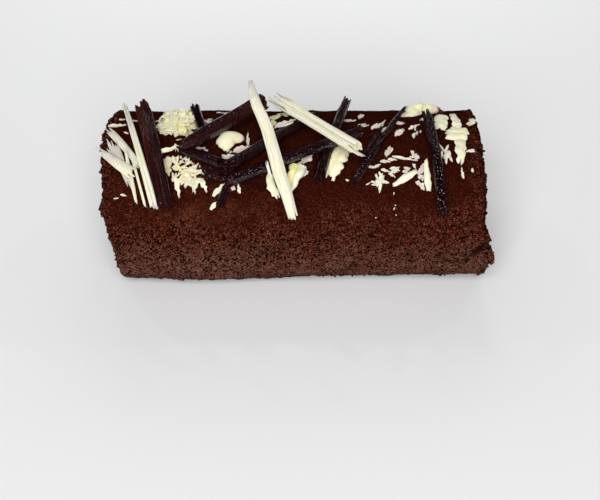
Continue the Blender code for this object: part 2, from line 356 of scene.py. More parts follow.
sponge = {
    "around": 320, "along": 236, "capRings": 24,
    "edgeRound": 2.6 * mm, "endCrumble": 5 * mm, "endSwell": 1.6 * mm,
    "straight": 98 * mm,   # the skin is looked for no further out than this, either way
    "spiralTurns": 2.6, "spiralDepth": 1.6 * mm, "spiralWidth": 0.085,
    # heights as shares of the roll's own height
    "moistLine": 0.68, "moistBlur": 0.19, "palerFrom": 0.12, "dryTo": 0.62,
    # the front sags towards the table on the left, tucks under on the right and spreads at the foot
    "sag": 4.6 * mm, "sagAt": -52 * mm, "sagWidth": 50 * mm,
    "tuck": 1.8 * mm, "tuckFrom": 40 * mm, "tuckTo": 90 * mm,
    # the dark band at the foot is painted contact shadow: how dark it is, and the heights where it fades out
    "footSpread": 2.4 * mm, "footRise": 0.11, "footShadowDarkness": 0.95, "footShadowFrom": 0.055, "footShadowTo": 0.100,
    # the skin is rubbed brown in one place, given as (x, z) and how far it reaches
    "rubbedAt": (-46 * mm, 63 * mm), "rubbedReach": (18 * mm, 6 * mm),
    # how far each end stands out, in mm, going round from the back over the top to the front
    "leftEnd": [(0, 0), (60, 0.5), (80, 2.6), (100, 3.8), (118, 3.0), (135, 0.8), (148, 1.0), (155, 2.6),
                (162, 0.2), (175, -1.6), (192, -2.0), (210, -0.5), (360, 0)],
    "rightEnd": [(0, 0), (60, -0.2), (110, -1.3), (150, -0.6), (171, 0.0), (177, 5.0), (180, 3.4), (184, 0.6),
                 (186, 4.8), (191, 6.4), (196, 5.6), (200, 3.2), (207, 1.4), (215, 0.2), (236, 0), (360, 0)],
    # creases and cracks in the front: start and end as (x, z) in mm, width, depth, and darkness of the painted
    # shade inside
    "creases": (((113, 43), (101.5, 28), 1.4, 4.0, 1.0), ((-27, 75), (-8, 73.2), 0.7, 0.8, 0.8),
                ((-44, 79), (-26, 75), 0.6, 0.5, 0.5), ((23, 66), (30, 55), 1.8, 0.5, 0.45),
                ((58, 73), (66, 69), 0.8, 0.6, 0.5), ((-98, 64), (-84, 66), 1.0, 0.9, 0.45)),
    # torn, lifted bits of the skin: x, z, size and height in mm
    "scabs": ((-74, 49, 5.5, 1.1), (-89.5, 34.5, 4.0, 0.9), (-45, 37.5, 8.0, 0.9), (-50, 22, 4.0, 0.6),
              (-66, 64, 5.0, 0.8), (-40, 66, 6.0, 0.7), (66, 60, 5.0, 0.6), (90, 52, 5.0, 0.7),
              (20, 40, 6.0, 0.4)),
    "scabFlat": 0.45,
    # what displaces the finished mesh: name, pattern, size, height, where, and the pattern's depth
    "roughness": (("lumps", "CLOUDS", 24 * mm, 1.5 * mm, "", 2),
                  ("ripples", "CLOUDS", 7 * mm, 0.9 * mm, "", 2),
                  ("crumbs", "CLOUDS", 2.6 * mm, 1.3 * mm, "crumbly", 2),
                  ("openPores", "VORONOI", 2.3 * mm, 1.1 * mm, "crumbly", None),
                  ("tornEnds", "CLOUDS", 4.2 * mm, 3.6 * mm, "ends", 4)),
}


def readRoll(node):
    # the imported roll's height, its middle line and a tree to look for its skin with
    low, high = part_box(node)
    middle = Vector((0, 0, (low.z + high.z) / 2))
    tree = BVHTree.FromObject(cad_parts[node], bpy.context.evaluated_depsgraph_get())
    return {"low": low, "high": high, "middle": middle, "tree": tree}


def rollPlace(roll, angle, x):
    # where the skin is at this angle round the middle line, looking in from well outside
    way = Vector((0, math.cos(angle), math.sin(angle)))
    return roll["tree"].ray_cast(Vector((x, 0, roll["middle"].z)) + way * outside, -way)[0]


def makeRoll(roll):
    look = sponge
    count = look["along"] + 2 * look["capRings"]
    deselectAll()
    bpy.ops.mesh.primitive_grid_add(x_subdivisions=count, y_subdivisions=1, size=2)
    piece = bpy.context.object
    piece.name = "spongeRoll"
    bpy.ops.object.mode_set(mode="EDIT")
    bpy.ops.mesh.select_all(action="DESELECT")
    bpy.ops.object.mode_set(mode="OBJECT")
    for corner in piece.data.vertices:
        corner.select = corner.co.y < 0
    bpy.ops.object.mode_set(mode="EDIT")
    bpy.ops.mesh.delete(type="VERT")
    bpy.ops.object.mode_set(mode="OBJECT")
    # the line left over becomes the roll's profile: in from the axis, along, and back to the axis
    co = corners(piece)
    order = np.argsort(co[:, 0])
    step = np.empty(len(co))
    step[order] = np.arange(len(co))
    cap = look["capRings"]
    co[:, 0] = step / count
    co[:, 1] = np.clip(np.minimum(step, count - step) / cap, 0, 1)
    co[:, 2] = 0
    moveCorners(piece, co)
    editAll(piece)
    bpy.ops.mesh.spin(steps=look["around"], angle=2 * math.pi, center=(0, 0, 0), axis=(1, 0, 0),
                      use_auto_merge=True)
    bpy.ops.mesh.select_all(action="SELECT")
    bpy.ops.mesh.remove_doubles(threshold=1e-5)
    bpy.ops.object.mode_set(mode="OBJECT")
    shapeRoll(piece, roll, count)
    editAll(piece)
    bpy.ops.mesh.normals_make_consistent(inside=False)
    bpy.ops.object.mode_set(mode="OBJECT")
    return piece


def wander(co, pitch):
    return np.array([noise.fractal(Vector(p) * pitch, 0.6, 2.0, 4) for p in co])


def rollEnds(roll, section):
    # where the roll begins and ends at each place round its section
    ends = []
    middle = roll["middle"]
    for spot in section:
        inside = middle + (spot - middle) * 0.93
        turned = math.degrees(math.atan2(spot.z - middle.z, spot.y)) % 360
        pair = []
        for side, own in ((-1, "leftEnd"), (1, "rightEnd")):
            hit = roll["tree"].ray_cast(Vector((side, inside.y, inside.z)), Vector((-side, 0, 0)))[0]
            pair.append(hit.x + side * levels(sponge[own], turned) * mm)
        ends.append(pair)
    return ends


def heightShare(roll, out):
    return (out[:, 2] - roll["low"].z) / (roll["high"].z - roll["low"].z)


def wrapProfile(roll, co, count):
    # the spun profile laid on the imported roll's section, with a spiral in both end faces
    look = sponge
    around, cap = look["around"], look["capRings"]
    step = np.round(co[:, 0] * count).astype(int)
    size = np.hypot(co[:, 1], co[:, 2])
    turn = np.round(np.arctan2(co[:, 2], co[:, 1]) / (2 * math.pi) * around).astype(int) % around
    angles = [2 * math.pi * k / around for k in range(around)]
    section = [rollPlace(roll, angle, 0) for angle in angles]
    ends = rollEnds(roll, section)
    flatEnds = np.mean(ends, axis=0)
    middle = roll["middle"]
    out, seam, endness = np.empty_like(co), np.zeros(len(co)), np.zeros(len(co))
    for index in range(len(co)):
        spot = section[turn[index]]
        left, right = ends[turn[index]]
        x = left + (right - left) * np.clip((step[index] - cap) / look["along"], 0, 1)
        if cap <= step[index] <= count - cap:
            inside = max(min(x, look["straight"]), -look["straight"])
            spot = rollPlace(roll, angles[turn[index]], inside) or spot
        away = min(x - left, right - x)
        pull = look["edgeRound"] * max(0.0, 1 - away / look["edgeRound"]) ** 2
        reach = (spot - middle).length
        scale = (reach - pull) / reach
        if step[index] < cap or step[index] > count - cap:
            side = -1 if step[index] < cap else 1
            radius = size[index]
            scale *= radius
            x = flatEnds[int(side > 0)] + (x - flatEnds[int(side > 0)]) * radius ** 6
            phase = (look["spiralTurns"] * radius + side * turn[index] / around) % 1.0
            groove = math.exp(-((phase - 0.5) / look["spiralWidth"]) ** 2) * smoothStep(0.08, 0.2, radius)
            wobble = noise.noise(Vector((spot.y * 60 * radius, spot.z * 60 * radius, side * 7.0)))
            seam[index] = groove * (0.75 + 0.5 * wobble) * (1 - smoothStep(0.93, 0.99, radius))
            x += side * (look["endSwell"] * (1 - radius * radius) - look["spiralDepth"] * groove)
        out[index] = (x, middle.y + (spot.y - middle.y) * scale, middle.z + (spot.z - middle.z) * scale)
        endness[index] = math.exp(-(away / look["endCrumble"]) ** 2)
    return out, seam, endness


def sagFront(roll, out):
    look = sponge
    height = heightShare(roll, out)
    front = smoothStep(12 * mm, 45 * mm, -out[:, 1])
    low = 1 - smoothStep(0.0, 0.42, height)
    out[:, 1] -= look["sag"] * np.exp(-((out[:, 0] - look["sagAt"]) / look["sagWidth"]) ** 2) * front * low
    out[:, 1] += look["tuck"] * smoothStep(look["tuckFrom"], look["tuckTo"], out[:, 0]) * front * low
    out[:, 1] -= look["footSpread"] * front * (1 - smoothStep(0.0, look["footRise"], height))


def creaseFront(out, seam, facing):
    # presses in the creases with painted shade inside them, and lifts the scabs
    for (x0, z0), (x1, z1), wide, deep, dark in sponge["creases"]:
        begin, run = np.array((x0, z0)) * mm, np.array((x1 - x0, z1 - z0)) * mm
        spot = out[:, [0, 2]] - begin
        share = np.clip(spot @ run / (run @ run), 0, 1)
        bow = np.array([noise.noise(Vector((s * 3.1, x0, z0))) for s in share]) * 1.6 * mm
        away = np.linalg.norm(spot - share[:, None] * run + np.stack([0 * bow, bow], 1), axis=1)
        groove = np.exp(-(away / (wide * mm)) ** 2) * facing
        groove *= 0.4 + 0.6 * np.sin(math.pi * np.clip(share, 0.1, 0.9))   # shallower at both ends
        out[:, 1] += groove * deep * mm
        out[:, 2] -= groove * deep * mm * 0.4
        # painted shade inside the crease
        seam = np.maximum(seam, groove * dark)
    for x0, z0, size, rise in sponge["scabs"]:
        away = np.hypot((out[:, 0] / mm - x0) / size, (out[:, 2] / mm - z0) / (size * sponge["scabFlat"]))
        edge = 1 - smoothStep(0.55, 1.0, away + 0.35 * wander(out, 260))
        out[:, 1] -= edge * facing * rise * mm
    return seam


def paintRoll(piece, out, height, seam, endness, facing):
    # layers for the material to read, and where the roughness takes hold
    look = sponge
    cloud = wander(out, 45)
    moist = smoothStep(look["moistLine"] - look["moistBlur"], look["moistLine"] + look["moistBlur"],
                       height + 0.16 * cloud)
    moist = moist * (1 - 0.8 * endness)
    paint(piece, "moist", moist)
    # lighter and greyer towards the bottom of the roll
    paint(piece, "dry", 1 - smoothStep(look["palerFrom"], look["dryTo"], height + 0.10 * cloud))
    (rubX, rubZ), (reachX, reachZ) = look["rubbedAt"], look["rubbedReach"]
    rubbed = np.exp(-((out[:, 0] - rubX) / reachX) ** 2 - ((out[:, 2] - rubZ) / reachZ) ** 2) * facing
    rub = np.array([noise.noise(Vector(p) * 150) for p in out])
    paint(piece, "rubbed", np.clip(rubbed * (1 + 1.5 * rub), 0, 1))
    # painted contact shadow along the foot, where the roll meets the floor
    footShadow = 1 - smoothStep(look["footShadowFrom"], look["footShadowTo"], height + 0.016 * cloud)
    paint(piece, "seam", np.maximum(seam, look["footShadowDarkness"] * footShadow))
    weightGroup(piece, "crumbly", np.clip(1 - 0.75 * moist + endness, 0, 1) * smoothStep(0.0, 0.05, height))
    weightGroup(piece, "ends", endness * smoothStep(0.01, 0.08, height))


def shapeRoll(piece, roll, count):
    out, seam, endness = wrapProfile(roll, corners(piece), count)
    sagFront(roll, out)
    facing = out[:, 1] < 0
    seam = creaseFront(out, seam, facing)
    moveCorners(piece, out)
    paintRoll(piece, out, heightShare(roll, out), seam, endness, facing)


def roughen(piece, name, kind, size, strength, group, depth):
    texture = bpy.data.textures.new(name, kind)
    texture.noise_scale = size
    if depth is not None:
        texture.noise_depth = depth
    applyModifier(piece, "DISPLACE", texture=texture, texture_coords="LOCAL", strength=strength,
                  mid_level=0.5, vertex_group=group)


roll = readRoll("sponge_roll")
rollPiece = makeRoll(roll)
for rough in sponge["roughness"]:
    roughen(rollPiece, *rough)
rollPiece.data.shade_smooth()
finishPiece(rollPiece, makeSponge(), "chocolate_sponge", "sponge_roll")
print("sponge roll", len(rollPiece.data.polygons))

# crumbs that cling to the sponge, most of them round the two cut ends
crumbs = {
    "count": 520, "seed": 17, "size": (0.35, 1.15), "turns": (-40, 200),
    "leftShare": 0.36, "rightShare": 0.34, "band": 3.5 * mm, "beyond": 2 * mm,
    "lowest": 1.5 * mm, "highestBetween": 60 * mm,
}


def makeCrumbs():
    look = crumbs
    chance = random.Random(look["seed"])
    tree = BVHTree.FromObject(rollPiece, bpy.context.evaluated_depsgraph_get())
    low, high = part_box("sponge_roll")
    deselectAll()
    bpy.ops.mesh.primitive_ico_sphere_add(subdivisions=1, radius=1)
    model = bpy.context.object
    for corner in model.data.vertices:
        corner.co *= chance.uniform(0.75, 1.25)
    made = []
    while len(made) < look["count"]:
        where = chance.random()
        band = abs(chance.gauss(0, look["band"])) - look["beyond"]
        between = where >= look["leftShare"] + look["rightShare"]
        if where < look["leftShare"]:
            x = low.x + band
        elif not between:
            x = high.x - band
        else:
            x = chance.uniform(low.x, high.x)
        turn = math.radians(chance.uniform(*look["turns"]))
        way = Vector((0, math.cos(turn + math.pi / 2), math.sin(turn + math.pi / 2)))
        spot, up, _, _ = tree.ray_cast(Vector((x, 0, roll["middle"].z)) + way * outside, -way)
        if spot is None or spot.z < look["lowest"] or (between and spot.z > look["highestBetween"]):
            continue
        size = chance.uniform(*look["size"]) ** 1.4
        piece = bpy.data.objects.new("crumb", model.data.copy())
        bpy.context.collection.objects.link(piece)
        turned = Vector([chance.uniform(-1, 1) for k in range(3)]).to_track_quat("Z", "Y").to_matrix()
        scale = Matrix.Diagonal([size * mm * chance.uniform(0.6, 1.2) for k in range(3)] + [1])
        piece.data.transform(Matrix.Translation(spot + up * size * 0.35 * mm) @ turned.to_4x4() @ scale)
        made.append(piece)
    bpy.data.objects.remove(model)
    piece = joinAll(made, "spongeCrumbs")
    paint(piece, "dry", np.full(len(piece.data.vertices), 0.35))
    finishPiece(piece, rollPiece.data.materials[0], "chocolate_sponge")
    return len(made)


print("crumbs", makeCrumbs())

# chocolate sheets drawn out along a line: pencils, curls, strips and flakes

def readLine(node, flat):
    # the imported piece's own middle line, the way it faces and half its width
    co = corners(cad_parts[node])
    centre = co.mean(0)
    axes = np.linalg.svd(co - centre)[2]
    axis = axes[0] if axes[0][1] < 0 else -axes[0]
    if not flat:
        facing = np.array((0.0, -0.25, 0.97))
    elif isinstance(flat, tuple):
        facing = np.array(flat)
    else:
        facing = axes[2] if axes[2][2] > 0 else -axes[2]
    along = (co - centre) @ axis
    share = (along - along.min()) / (along.max() - along.min())
    # a straight piece has corners at its ends only, so it gets a straight line
    bends = 2 if np.count_nonzero(np.abs(share - 0.5) < 0.3) > 8 else 1
    fits = [np.polyfit(share, co[:, k], bends) for k in range(3)]
    line = {"fits": fits, "facing": facing, "length": along.max() - along.min()}
    spot, _, side, _ = lineFrame(line, share)
    line["half"] = np.abs(((co - spot) * side).sum(1)).max()
    return line


def lineFrame(line, share):
    spot = np.stack([np.polyval(fit, share) for fit in line["fits"]], -1)
    ahead = np.stack([np.polyval(np.polyder(fit), share) for fit in line["fits"]], -1)
    ahead /= np.linalg.norm(ahead, axis=-1, keepdims=True)
    side = np.cross(line["facing"], ahead)
    side /= np.linalg.norm(side, axis=-1, keepdims=True)
    return spot, ahead, side, np.cross(ahead, side)


def sheetSection(turns, count, swell):
    # heading along the sheet's width, in whole turns, summed up to a rolled or arched section
    s = np.linspace(0, 1, count + 1)
    heading = levels(turns, s)
    middle = turns[len(turns) // 2][1] if len(turns) % 2 else 0.0
    heading = (middle + (heading - middle) * swell) * 2 * math.pi
    between = (heading[1:] + heading[:-1]) / 2
    y = np.concatenate([[0], np.cumsum(np.cos(between))])
    z = np.concatenate([[0], np.cumsum(np.sin(between))])
    y -= (y.max() + y.min()) / 2
    z -= (z.max() + z.min()) / 2
    return y, z, heading


# what a sheet has when its own dictionary doesn't say: lengths in mm, stops as (share of the way, value)
plainSheet = {
    "rows": 64, "columns": 48,   # along and across
    "reach": (0.0, 1.0), "half": 1.0, "shift": (0.0, 0.0),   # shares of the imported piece, and how far off it
    "taper": [(0, 1), (1, 1)], "squash": 1.0,   # width along the way, and height of the section
    "tilt": 0.0, "twist": 0.0, "opening": 0.12, "sway": 0.06,   # turns, and how the roll opens at its ends
    "prong": 4.0,   # how many columns tear off together; "fray" is how far, at each end
    "ridge": 0.22, "crinkle": 0.0, "crinklePitch": 260, "thick": 0.6, "edgeThick": 0.45,
    "thin": [(0, 0.25), (0.06, 0), (0.94, 0), (1, 0.25)],   # pale and thin along, "sideTone" across
    "toneFade": [(0, 1)], "butter": [(0, 0.0)],   # where "sideTone" counts, and yellower chocolate across, which on the dark pencils marks the band where the painted glints gather
}


def tornEnds(look, length, seed):
    # every few columns end at their own place, given here as a share of the length at either end
    columns = look["columns"]
    cuts = np.empty((columns + 1, 2))
    for k in range(columns + 1):
        for end in (0, 1):
            step = noise.cell(Vector((k / look["prong"], seed * 3.7 + end * 9.1, 0.5)))
            fine = noise.noise(Vector((k * 0.9, seed * 1.3 + end * 5.0, 2.5)))
            cuts[k, end] = look["fray"][end] * mm / length * (0.75 * step + 0.5 * abs(fine))
    if "slant" in look:
        cuts[:, 0] += levels(look["slant"], np.arange(columns + 1) / columns) * mm / length
    return cuts


def makeSheet(name, line, own, seed):
    look = {**plainSheet, **own}
    rows, columns = look["rows"], look["columns"]
    deselectAll()
    bpy.ops.mesh.primitive_grid_add(x_subdivisions=rows, y_subdivisions=columns, size=1)
    piece = bpy.context.object
    piece.name = name
    co = corners(piece)
    row = np.round((co[:, 0] + 0.5) * rows).astype(int)
    column = np.round((co[:, 1] + 0.5) * columns).astype(int)
    low, high = look["reach"]
    length = line["length"]
    cuts = tornEnds(look, length, seed)
    first = low + cuts[column, 0]
    last = high - cuts[column, 1]
    share = first + (last - first) * row / rows
    unit = line["half"] * look["half"] / sheetSection(look["turns"], columns, 1.0)[0].max()
    y, z, lean = np.empty((3, len(co)))
    for k in range(rows + 1):
        mine = row == k
        middle = share[mine].mean()
        sway = noise.noise(Vector((middle * length * 28, seed * 2.1, 0.0)))
        opening = look["opening"] * (math.exp(-middle / 0.07) + math.exp(-(1 - middle) / 0.07))
        ys, zs, heading = sheetSection(look["turns"], columns, 1 + look["sway"] * sway - opening)
        wide = levels(look["taper"], (middle - low) / (high - low))
        wide *= 1 + 0.06 * noise.noise(Vector((middle * length * 60, seed * 5.3, 3.0)))
        y[mine] = ys[column[mine]] * unit * wide
        z[mine] = zs[column[mine]] * unit * wide * look["squash"]
        lean[mine] = heading[column[mine]]
    if "wavy" in look:
        far = np.where(column > columns / 2, 4.0, 0.0)
        y *= 1 + look["wavy"] * np.array([noise.noise(Vector((t * length * 330, seed * 1.7 + f, 7.0)))
                                          for t, f in zip(share, far)])
    # ridges run the whole length of a drawn sheet
    across = column * unit
    ridge = np.array([0.9 - 2.4 * abs(noise.noise(Vector((a * 480, t * length * 12, seed)))) +
                      0.5 * noise.noise(Vector((a * 1500, t * length * 30, seed + 8)))
                      for a, t in zip(across, share)])
    ridge *= look["ridge"] * mm
    y -= np.sin(lean) * ridge
    z += np.cos(lean) * ridge
    turn = 2 * math.pi * (look["tilt"] + look["twist"] * (share - 0.5))
    slide = levels(look["drift"], share) * mm if "drift" in look else 0.0
    spot, _, side, up = lineFrame(line, share)
    ys = y * np.cos(turn) - z * np.sin(turn) + look["shift"][0] * mm + slide
    zs = y * np.sin(turn) + z * np.cos(turn) + look["shift"][1] * mm
    place = spot + side * ys[:, None] + up * zs[:, None]
    if look["crinkle"]:
        pitch, shifted = look["crinklePitch"], Vector((seed, 0, 0))
        wave = np.array([noise.noise_vector(Vector(p) * pitch + shifted) for p in place])
        place = place + wave * look["crinkle"] * mm
    moveCorners(piece, place)
    endness = np.minimum(share - low, high - share) / (high - low)
    edge = np.minimum(column, columns - column) / columns
    thin = levels(look["thin"], share)
    # tone across the width; on the left dark pencil it is partly painted reflected light
    if "sideTone" in look:
        thin = np.maximum(thin, levels(look["sideTone"], column / columns) * levels(look["toneFade"], share))
    blot = np.array([noise.noise(Vector(p) * 300 + Vector((0, seed, 0))) for p in place])
    butter = levels(look["butter"], column / columns)
    paint(piece, "grain", np.stack([share * length, across, np.full(len(co), seed * 0.013)], 1))
    paint(piece, "thin", np.clip(thin * (1 + 0.7 * blot), 0, 1))
    paint(piece, "butter", np.clip(butter * (1 + 0.5 * blot), 0, 1))
    if "cocoa" in look:
        paint(piece, "cocoa", np.clip(levels(look["cocoa"], share) * (1 + 1.2 * blot), 0, 1))
    weightGroup(piece, "body", 0.05 + 0.95 * np.clip(np.minimum(endness / 0.05, edge / 0.04), 0, 1))
    applyModifier(piece, "SOLIDIFY", thickness=look["thick"] * mm, offset=0.0, vertex_group="body",
                  thickness_vertex_group=look["edgeThick"])
    piece.vertex_groups.clear()
    makeActive(piece)
    bpy.ops.object.shade_smooth_by_angle(angle=math.radians(48))
    return piece


def camel(node):
    words = node.split("_")
    return words[0] + "".join(word.capitalize() for word in words[1:])


def makeDrawn(node, look, material, slot, seed):
    line = readLine(node, look.get("flat", False))
    made = [makeSheet(node + "_seen", line, look, seed)]
    for number, strand in enumerate(look.get("strands", ())):
        made.append(makeSheet(node + "_strand", line, strand, seed + 31 + number))
    finishPiece(joinAll(made, camel(node)), material, slot, node)


# how sheets are rolled or arched: headings in whole turns, from one edge to the other
scroll = [(0, 0.0), (0.25, 0.24), (0.5, 0.52), (0.75, 0.90), (1, 1.42)]
openScroll = [(0, -0.02), (0.30, 0.03), (0.45, 0.22), (0.65, 0.58), (0.85, 1.02), (1, 1.40)]
twinScroll = [(0, -0.92), (0.22, -0.36), (0.42, -0.06), (0.5, 0.0), (0.58, 0.06), (0.78, 0.36), (1, 0.92)]
arch = [(0, 0.14), (0.5, 0.0), (1, -0.14)]
almostFlat = [(0, 0.07), (0.5, 0.0), (1, -0.08)]
sliver = {"turns": [(0, 0.05), (0.5, 0.0), (1, -0.05)], "rows": 30, "columns": 8, "prong": 2.0, "thick": 0.5,
          "ridge": 0.08, "opening": 0.0}

pencil = {"turns": scroll, "thick": 0.5, "ridge": 0.3}
darkPencils = {
    # on these dark pencils the butter stops mark the band where the painted glints gather
    "dark_pencil_left": {
        "turns": openScroll, "tilt": 0.02, "fray": (4, 4), "slant": [(0, 0), (0.36, 0), (0.5, 11), (1, 14)],
        "columns": 84, "rows": 110, "thick": 0.7, "ridge": 0.34,
        # the flat open band on the left is reddish brown, partly the thin sheet's own tone and partly painted
        # reflected light, fading along the length
        "sideTone": [(0, 0.95), (0.26, 0.8), (0.38, 0.1), (1, 0)],
        "toneFade": [(0, 0.9), (0.4, 0.75), (0.75, 0.3), (1, 0.1)], "prong": 7.0,
        "thin": [(0, 0.3), (0.06, 0.12), (0.94, 0.14), (1, 0.3)],
        "taper": [(0, 0.72), (0.12, 0.9), (0.5, 1), (1, 0.92)],
    },
    "dark_pencil_back": {
        "turns": twinScroll, "fray": (3, 2), "columns": 64, "rows": 60, "thick": 0.45, "prong": 9.0,
        "taper": [(0, 1.15), (1, 1.25)],
    },
    "dark_pencil_short": {
        **pencil, "tilt": 0.1, "fray": (5, 4), "columns": 56, "rows": 44,
        "strands": [{**sliver, "reach": (0.0, 0.75), "half": 0.3, "shift": (-2.2, 0.3), "fray": (4, 5)}],
    },
    "dark_splinter_front": {
        **pencil, "tilt": 0.3, "fray": (4, 4), "columns": 40, "rows": 40, "thick": 0.4, "ridge": 0.25,
        "strands": [{**sliver, "reach": (0.2, 1.0), "half": 0.35, "shift": (1.9, -0.4), "fray": (3, 4)}],
    },
    "dark_pencil_upright": {
        **pencil, "tilt": -0.16, "fray": (3, 4), "columns": 64, "rows": 100, "prong": 6.0, "ridge": 0.28,
        "taper": [(0, 0.8), (0.3, 1), (1, 1.08)],
        "strands": [{**sliver, "reach": (0.78, 1.03), "half": 0.62, "shift": (-0.4, 0.8), "fray": (1, 4)},
                    {**sliver, "reach": (0.78, 1.02), "half": 0.5, "shift": (0.9, -0.3), "fray": (1, 4)},
                    {**sliver, "reach": (0.78, 1.00), "half": 0.5, "shift": (-0.9, -0.6), "fray": (1, 3)}],
    },
    "dark_pencil_lower": {
        **pencil, "tilt": -0.12, "fray": (3, 4), "columns": 72, "rows": 120, "thick": 0.55, "ridge": 0.32,
        "butter": [(0.28, 0), (0.36, 1), (0.46, 1), (0.54, 0)], "twist": 0.25,
    },
    "dark_pencil_middle": {
        **pencil, "tilt": 0.14, "fray": (2, 3), "columns": 64, "rows": 110, "twist": -0.2,
        "reach": (0.05, 1.0), "taper": [(0, 0.5), (0.08, 0.75), (0.18, 1), (1, 1)],
        "butter": [(0.3, 0), (0.4, 0.6), (0.46, 0.6), (0.52, 0)],
    },
    "dark_pencil_crossing": {
        **pencil, "tilt": 0.1, "fray": (2, 3), "columns": 76, "rows": 100, "thick": 0.6,
        "butter": [(0.3, 0), (0.38, 0.5), (0.44, 0.5), (0.5, 0)],
        "taper": [(0, 1.0), (0.06, 1.12), (0.2, 1.0), (0.7, 0.95), (0.88, 0.8), (1, 0.25)],
        "thin": [(0, 0.5), (0.06, 0.28), (0.94, 0.22), (1, 0.5)], "prong": 8.0,
        "sideTone": [(0, 0.6), (0.05, 0.2), (0.12, 0), (1, 0)],
    },
    "dark_pencil_slanted": {
        **pencil, "tilt": 0.12, "fray": (5, 1.5), "columns": 52, "rows": 100, "thick": 0.4, "half": 0.78,
        "butter": [(0.28, 0), (0.38, 0.8), (0.46, 0.8), (0.54, 0)],
        "taper": [(0, 0.45), (0.25, 0.8), (0.7, 1.15), (1, 1.1)],
        "strands": [{**sliver, "reach": (0.34, 0.78), "half": 0.55, "shift": (-4.6, -0.8), "fray": (4, 5),
                     "columns": 10, "rows": 60}],
    },
    "dark_pencil_right": {
        **pencil, "tilt": 0.06, "fray": (4, 1), "columns": 76, "rows": 120, "ridge": 0.45, "half": 0.82,
        "butter": [(0.28, 0), (0.36, 1), (0.48, 1), (0.58, 0)], "prong": 7.0,
        "taper": [(0, 0.3), (0.05, 0.45), (0.1, 0.9), (0.4, 1.1), (0.7, 1.25), (0.92, 1.2), (1, 0.9)],
        "twist": 0.12,
        "strands": [{**sliver, "reach": (0.0, 0.4), "half": 0.35, "shift": (-2.6, -0.2), "fray": (2, 4),
                     "rows": 50}],
    },
}

darkChocolate = makeChocolate("darkChocolate", darkLook)
for number, (node, look) in enumerate(darkPencils.items()):
    makeDrawn(node, look, darkChocolate, "dark_chocolate", 11 + number)
print("dark pencils", len(darkPencils))

whiteSticks = {
    "white_pencil_left": {
        "turns": twinScroll, "tilt": 0.02, "fray": (5, 1.5), "columns": 72, "rows": 110, "thick": 0.5,
        "squash": 0.85, "half": 0.7, "shift": (0.9, 0.0),
        "taper": [(0, 0.62), (0.2, 0.72), (0.4, 0.82), (0.75, 1), (1, 1)], "prong": 8.0,
        "thin": [(0, 1), (0.14, 0.9), (0.3, 0.35), (0.5, 0.05), (0.95, 0), (0.98, 0.5), (1, 0.9)],
        "strands": [{**sliver, "reach": (0.56, 0.97), "half": 0.24, "shift": (-3.9, -0.6), "fray": (9, 3),
                     "columns": 10, "rows": 50}],
    },
    "white_pencil_tall": {
        "turns": arch, "fray": (1.5, 6), "columns": 48, "rows": 120, "thick": 1.1, "ridge": 0.24,
        "prong": 11.0,
        "taper": [(0, 0.22), (0.05, 0.42), (0.12, 0.7), (0.22, 0.84), (0.4, 0.9), (0.66, 1.0), (0.75, 0.94),
                  (0.86, 0.8), (1, 0.66)],
        "shift": (0.8, 0), "reach": (0, 1.02),
        "drift": [(0, -1.2), (0.04, -1.5), (0.1, -2.2), (0.2, -1.9), (0.28, -0.9), (0.38, 0), (0.7, 0),
                  (0.85, 0.9), (1, 1.0)],
        "thin": [(0, 0.9), (0.1, 0.7), (0.18, 0.25), (0.27, 0.02), (1, 0)], "edgeThick": 0.6,
        "strands": [{**sliver, "reach": (0.61, 0.74), "half": 0.22, "shift": (-4.6, -0.6), "fray": (3, 4)}],
    },
    "white_pencil_resting": {
        "turns": twinScroll, "fray": (12, 4), "columns": 96, "rows": 110, "thick": 0.6, "squash": 0.8,
        "prong": 5.0, "taper": [(0, 1.1), (0.1, 1.0), (0.5, 0.95), (1, 1.05)], "ridge": 0.34, "opening": 0.0,
        "reach": (0.035, 0.955), "thin": [(0, 0.7), (0.08, 0.3), (0.16, 0), (1, 0)],
        "strands": [{**sliver, "reach": (0.88, 1.05), "half": 0.28, "shift": (-2.0, -1.0), "fray": (1, 3),
                     "rows": 24},
                    {**sliver, "reach": (-0.02, 0.14), "half": 0.4, "shift": (3.4, 0.5), "fray": (5, 1),
                     "rows": 24, "thin": [(0, 0.9), (1, 0.5)]}],
    },
    "white_strip_upper": {
        "turns": arch, "fray": (6, 4), "columns": 24, "rows": 60, "thick": 0.6, "ridge": 0.16, "prong": 3.0,
        "reach": (0, 1.22), "taper": [(0, 1.0), (0.3, 1.2), (1, 1.0)],
        "thin": [(0, 0.9), (0.25, 0.45), (0.6, 0.3), (1, 0.5)],
    },
    "white_strip_lower": {
        "turns": arch, "fray": (6, 6), "columns": 28, "rows": 60, "thick": 0.5, "ridge": 0.16, "prong": 3.0,
        "taper": [(0, 1.1), (0.3, 1.3), (0.6, 1.0), (1, 0.6)], "reach": (0, 0.9),
        "thin": [(0, 1), (0.5, 0.95), (1, 0.6)],
    },
    "white_shard_left": {
        "turns": arch, "fray": (4, 5), "columns": 40, "rows": 60, "thick": 0.6, "ridge": 0.22, "prong": 5.0,
        "taper": [(0, 0.45), (0.2, 0.7), (0.55, 1.1), (0.85, 1.25), (1, 1.2)], "reach": (-0.02, 1.06),
        "thin": [(0, 0.9), (0.3, 0.8), (0.6, 0.5), (1, 0.2)], "butter": [(0, 0.3), (1, 0)],
    },
    "white_splinter_low": {
        "turns": arch, "fray": (1, 2), "columns": 14, "rows": 60, "thick": 0.7, "ridge": 0.1,
        "reach": (-0.04, 1.0), "shift": (-2.0, 0.3), "taper": [(0, 0.4), (0.4, 0.8), (0.7, 0.9), (1, 0.35)],
        "thin": [(0, 0.6), (0.3, 0.3), (1, 0)],
    },
}
flake = {"flat": True, "columns": 34, "rows": 44, "thick": 0.8, "ridge": 0.06, "crinkle": 1.0, "opening": 0.0,
         "wavy": 0.35, "prong": 7.0}
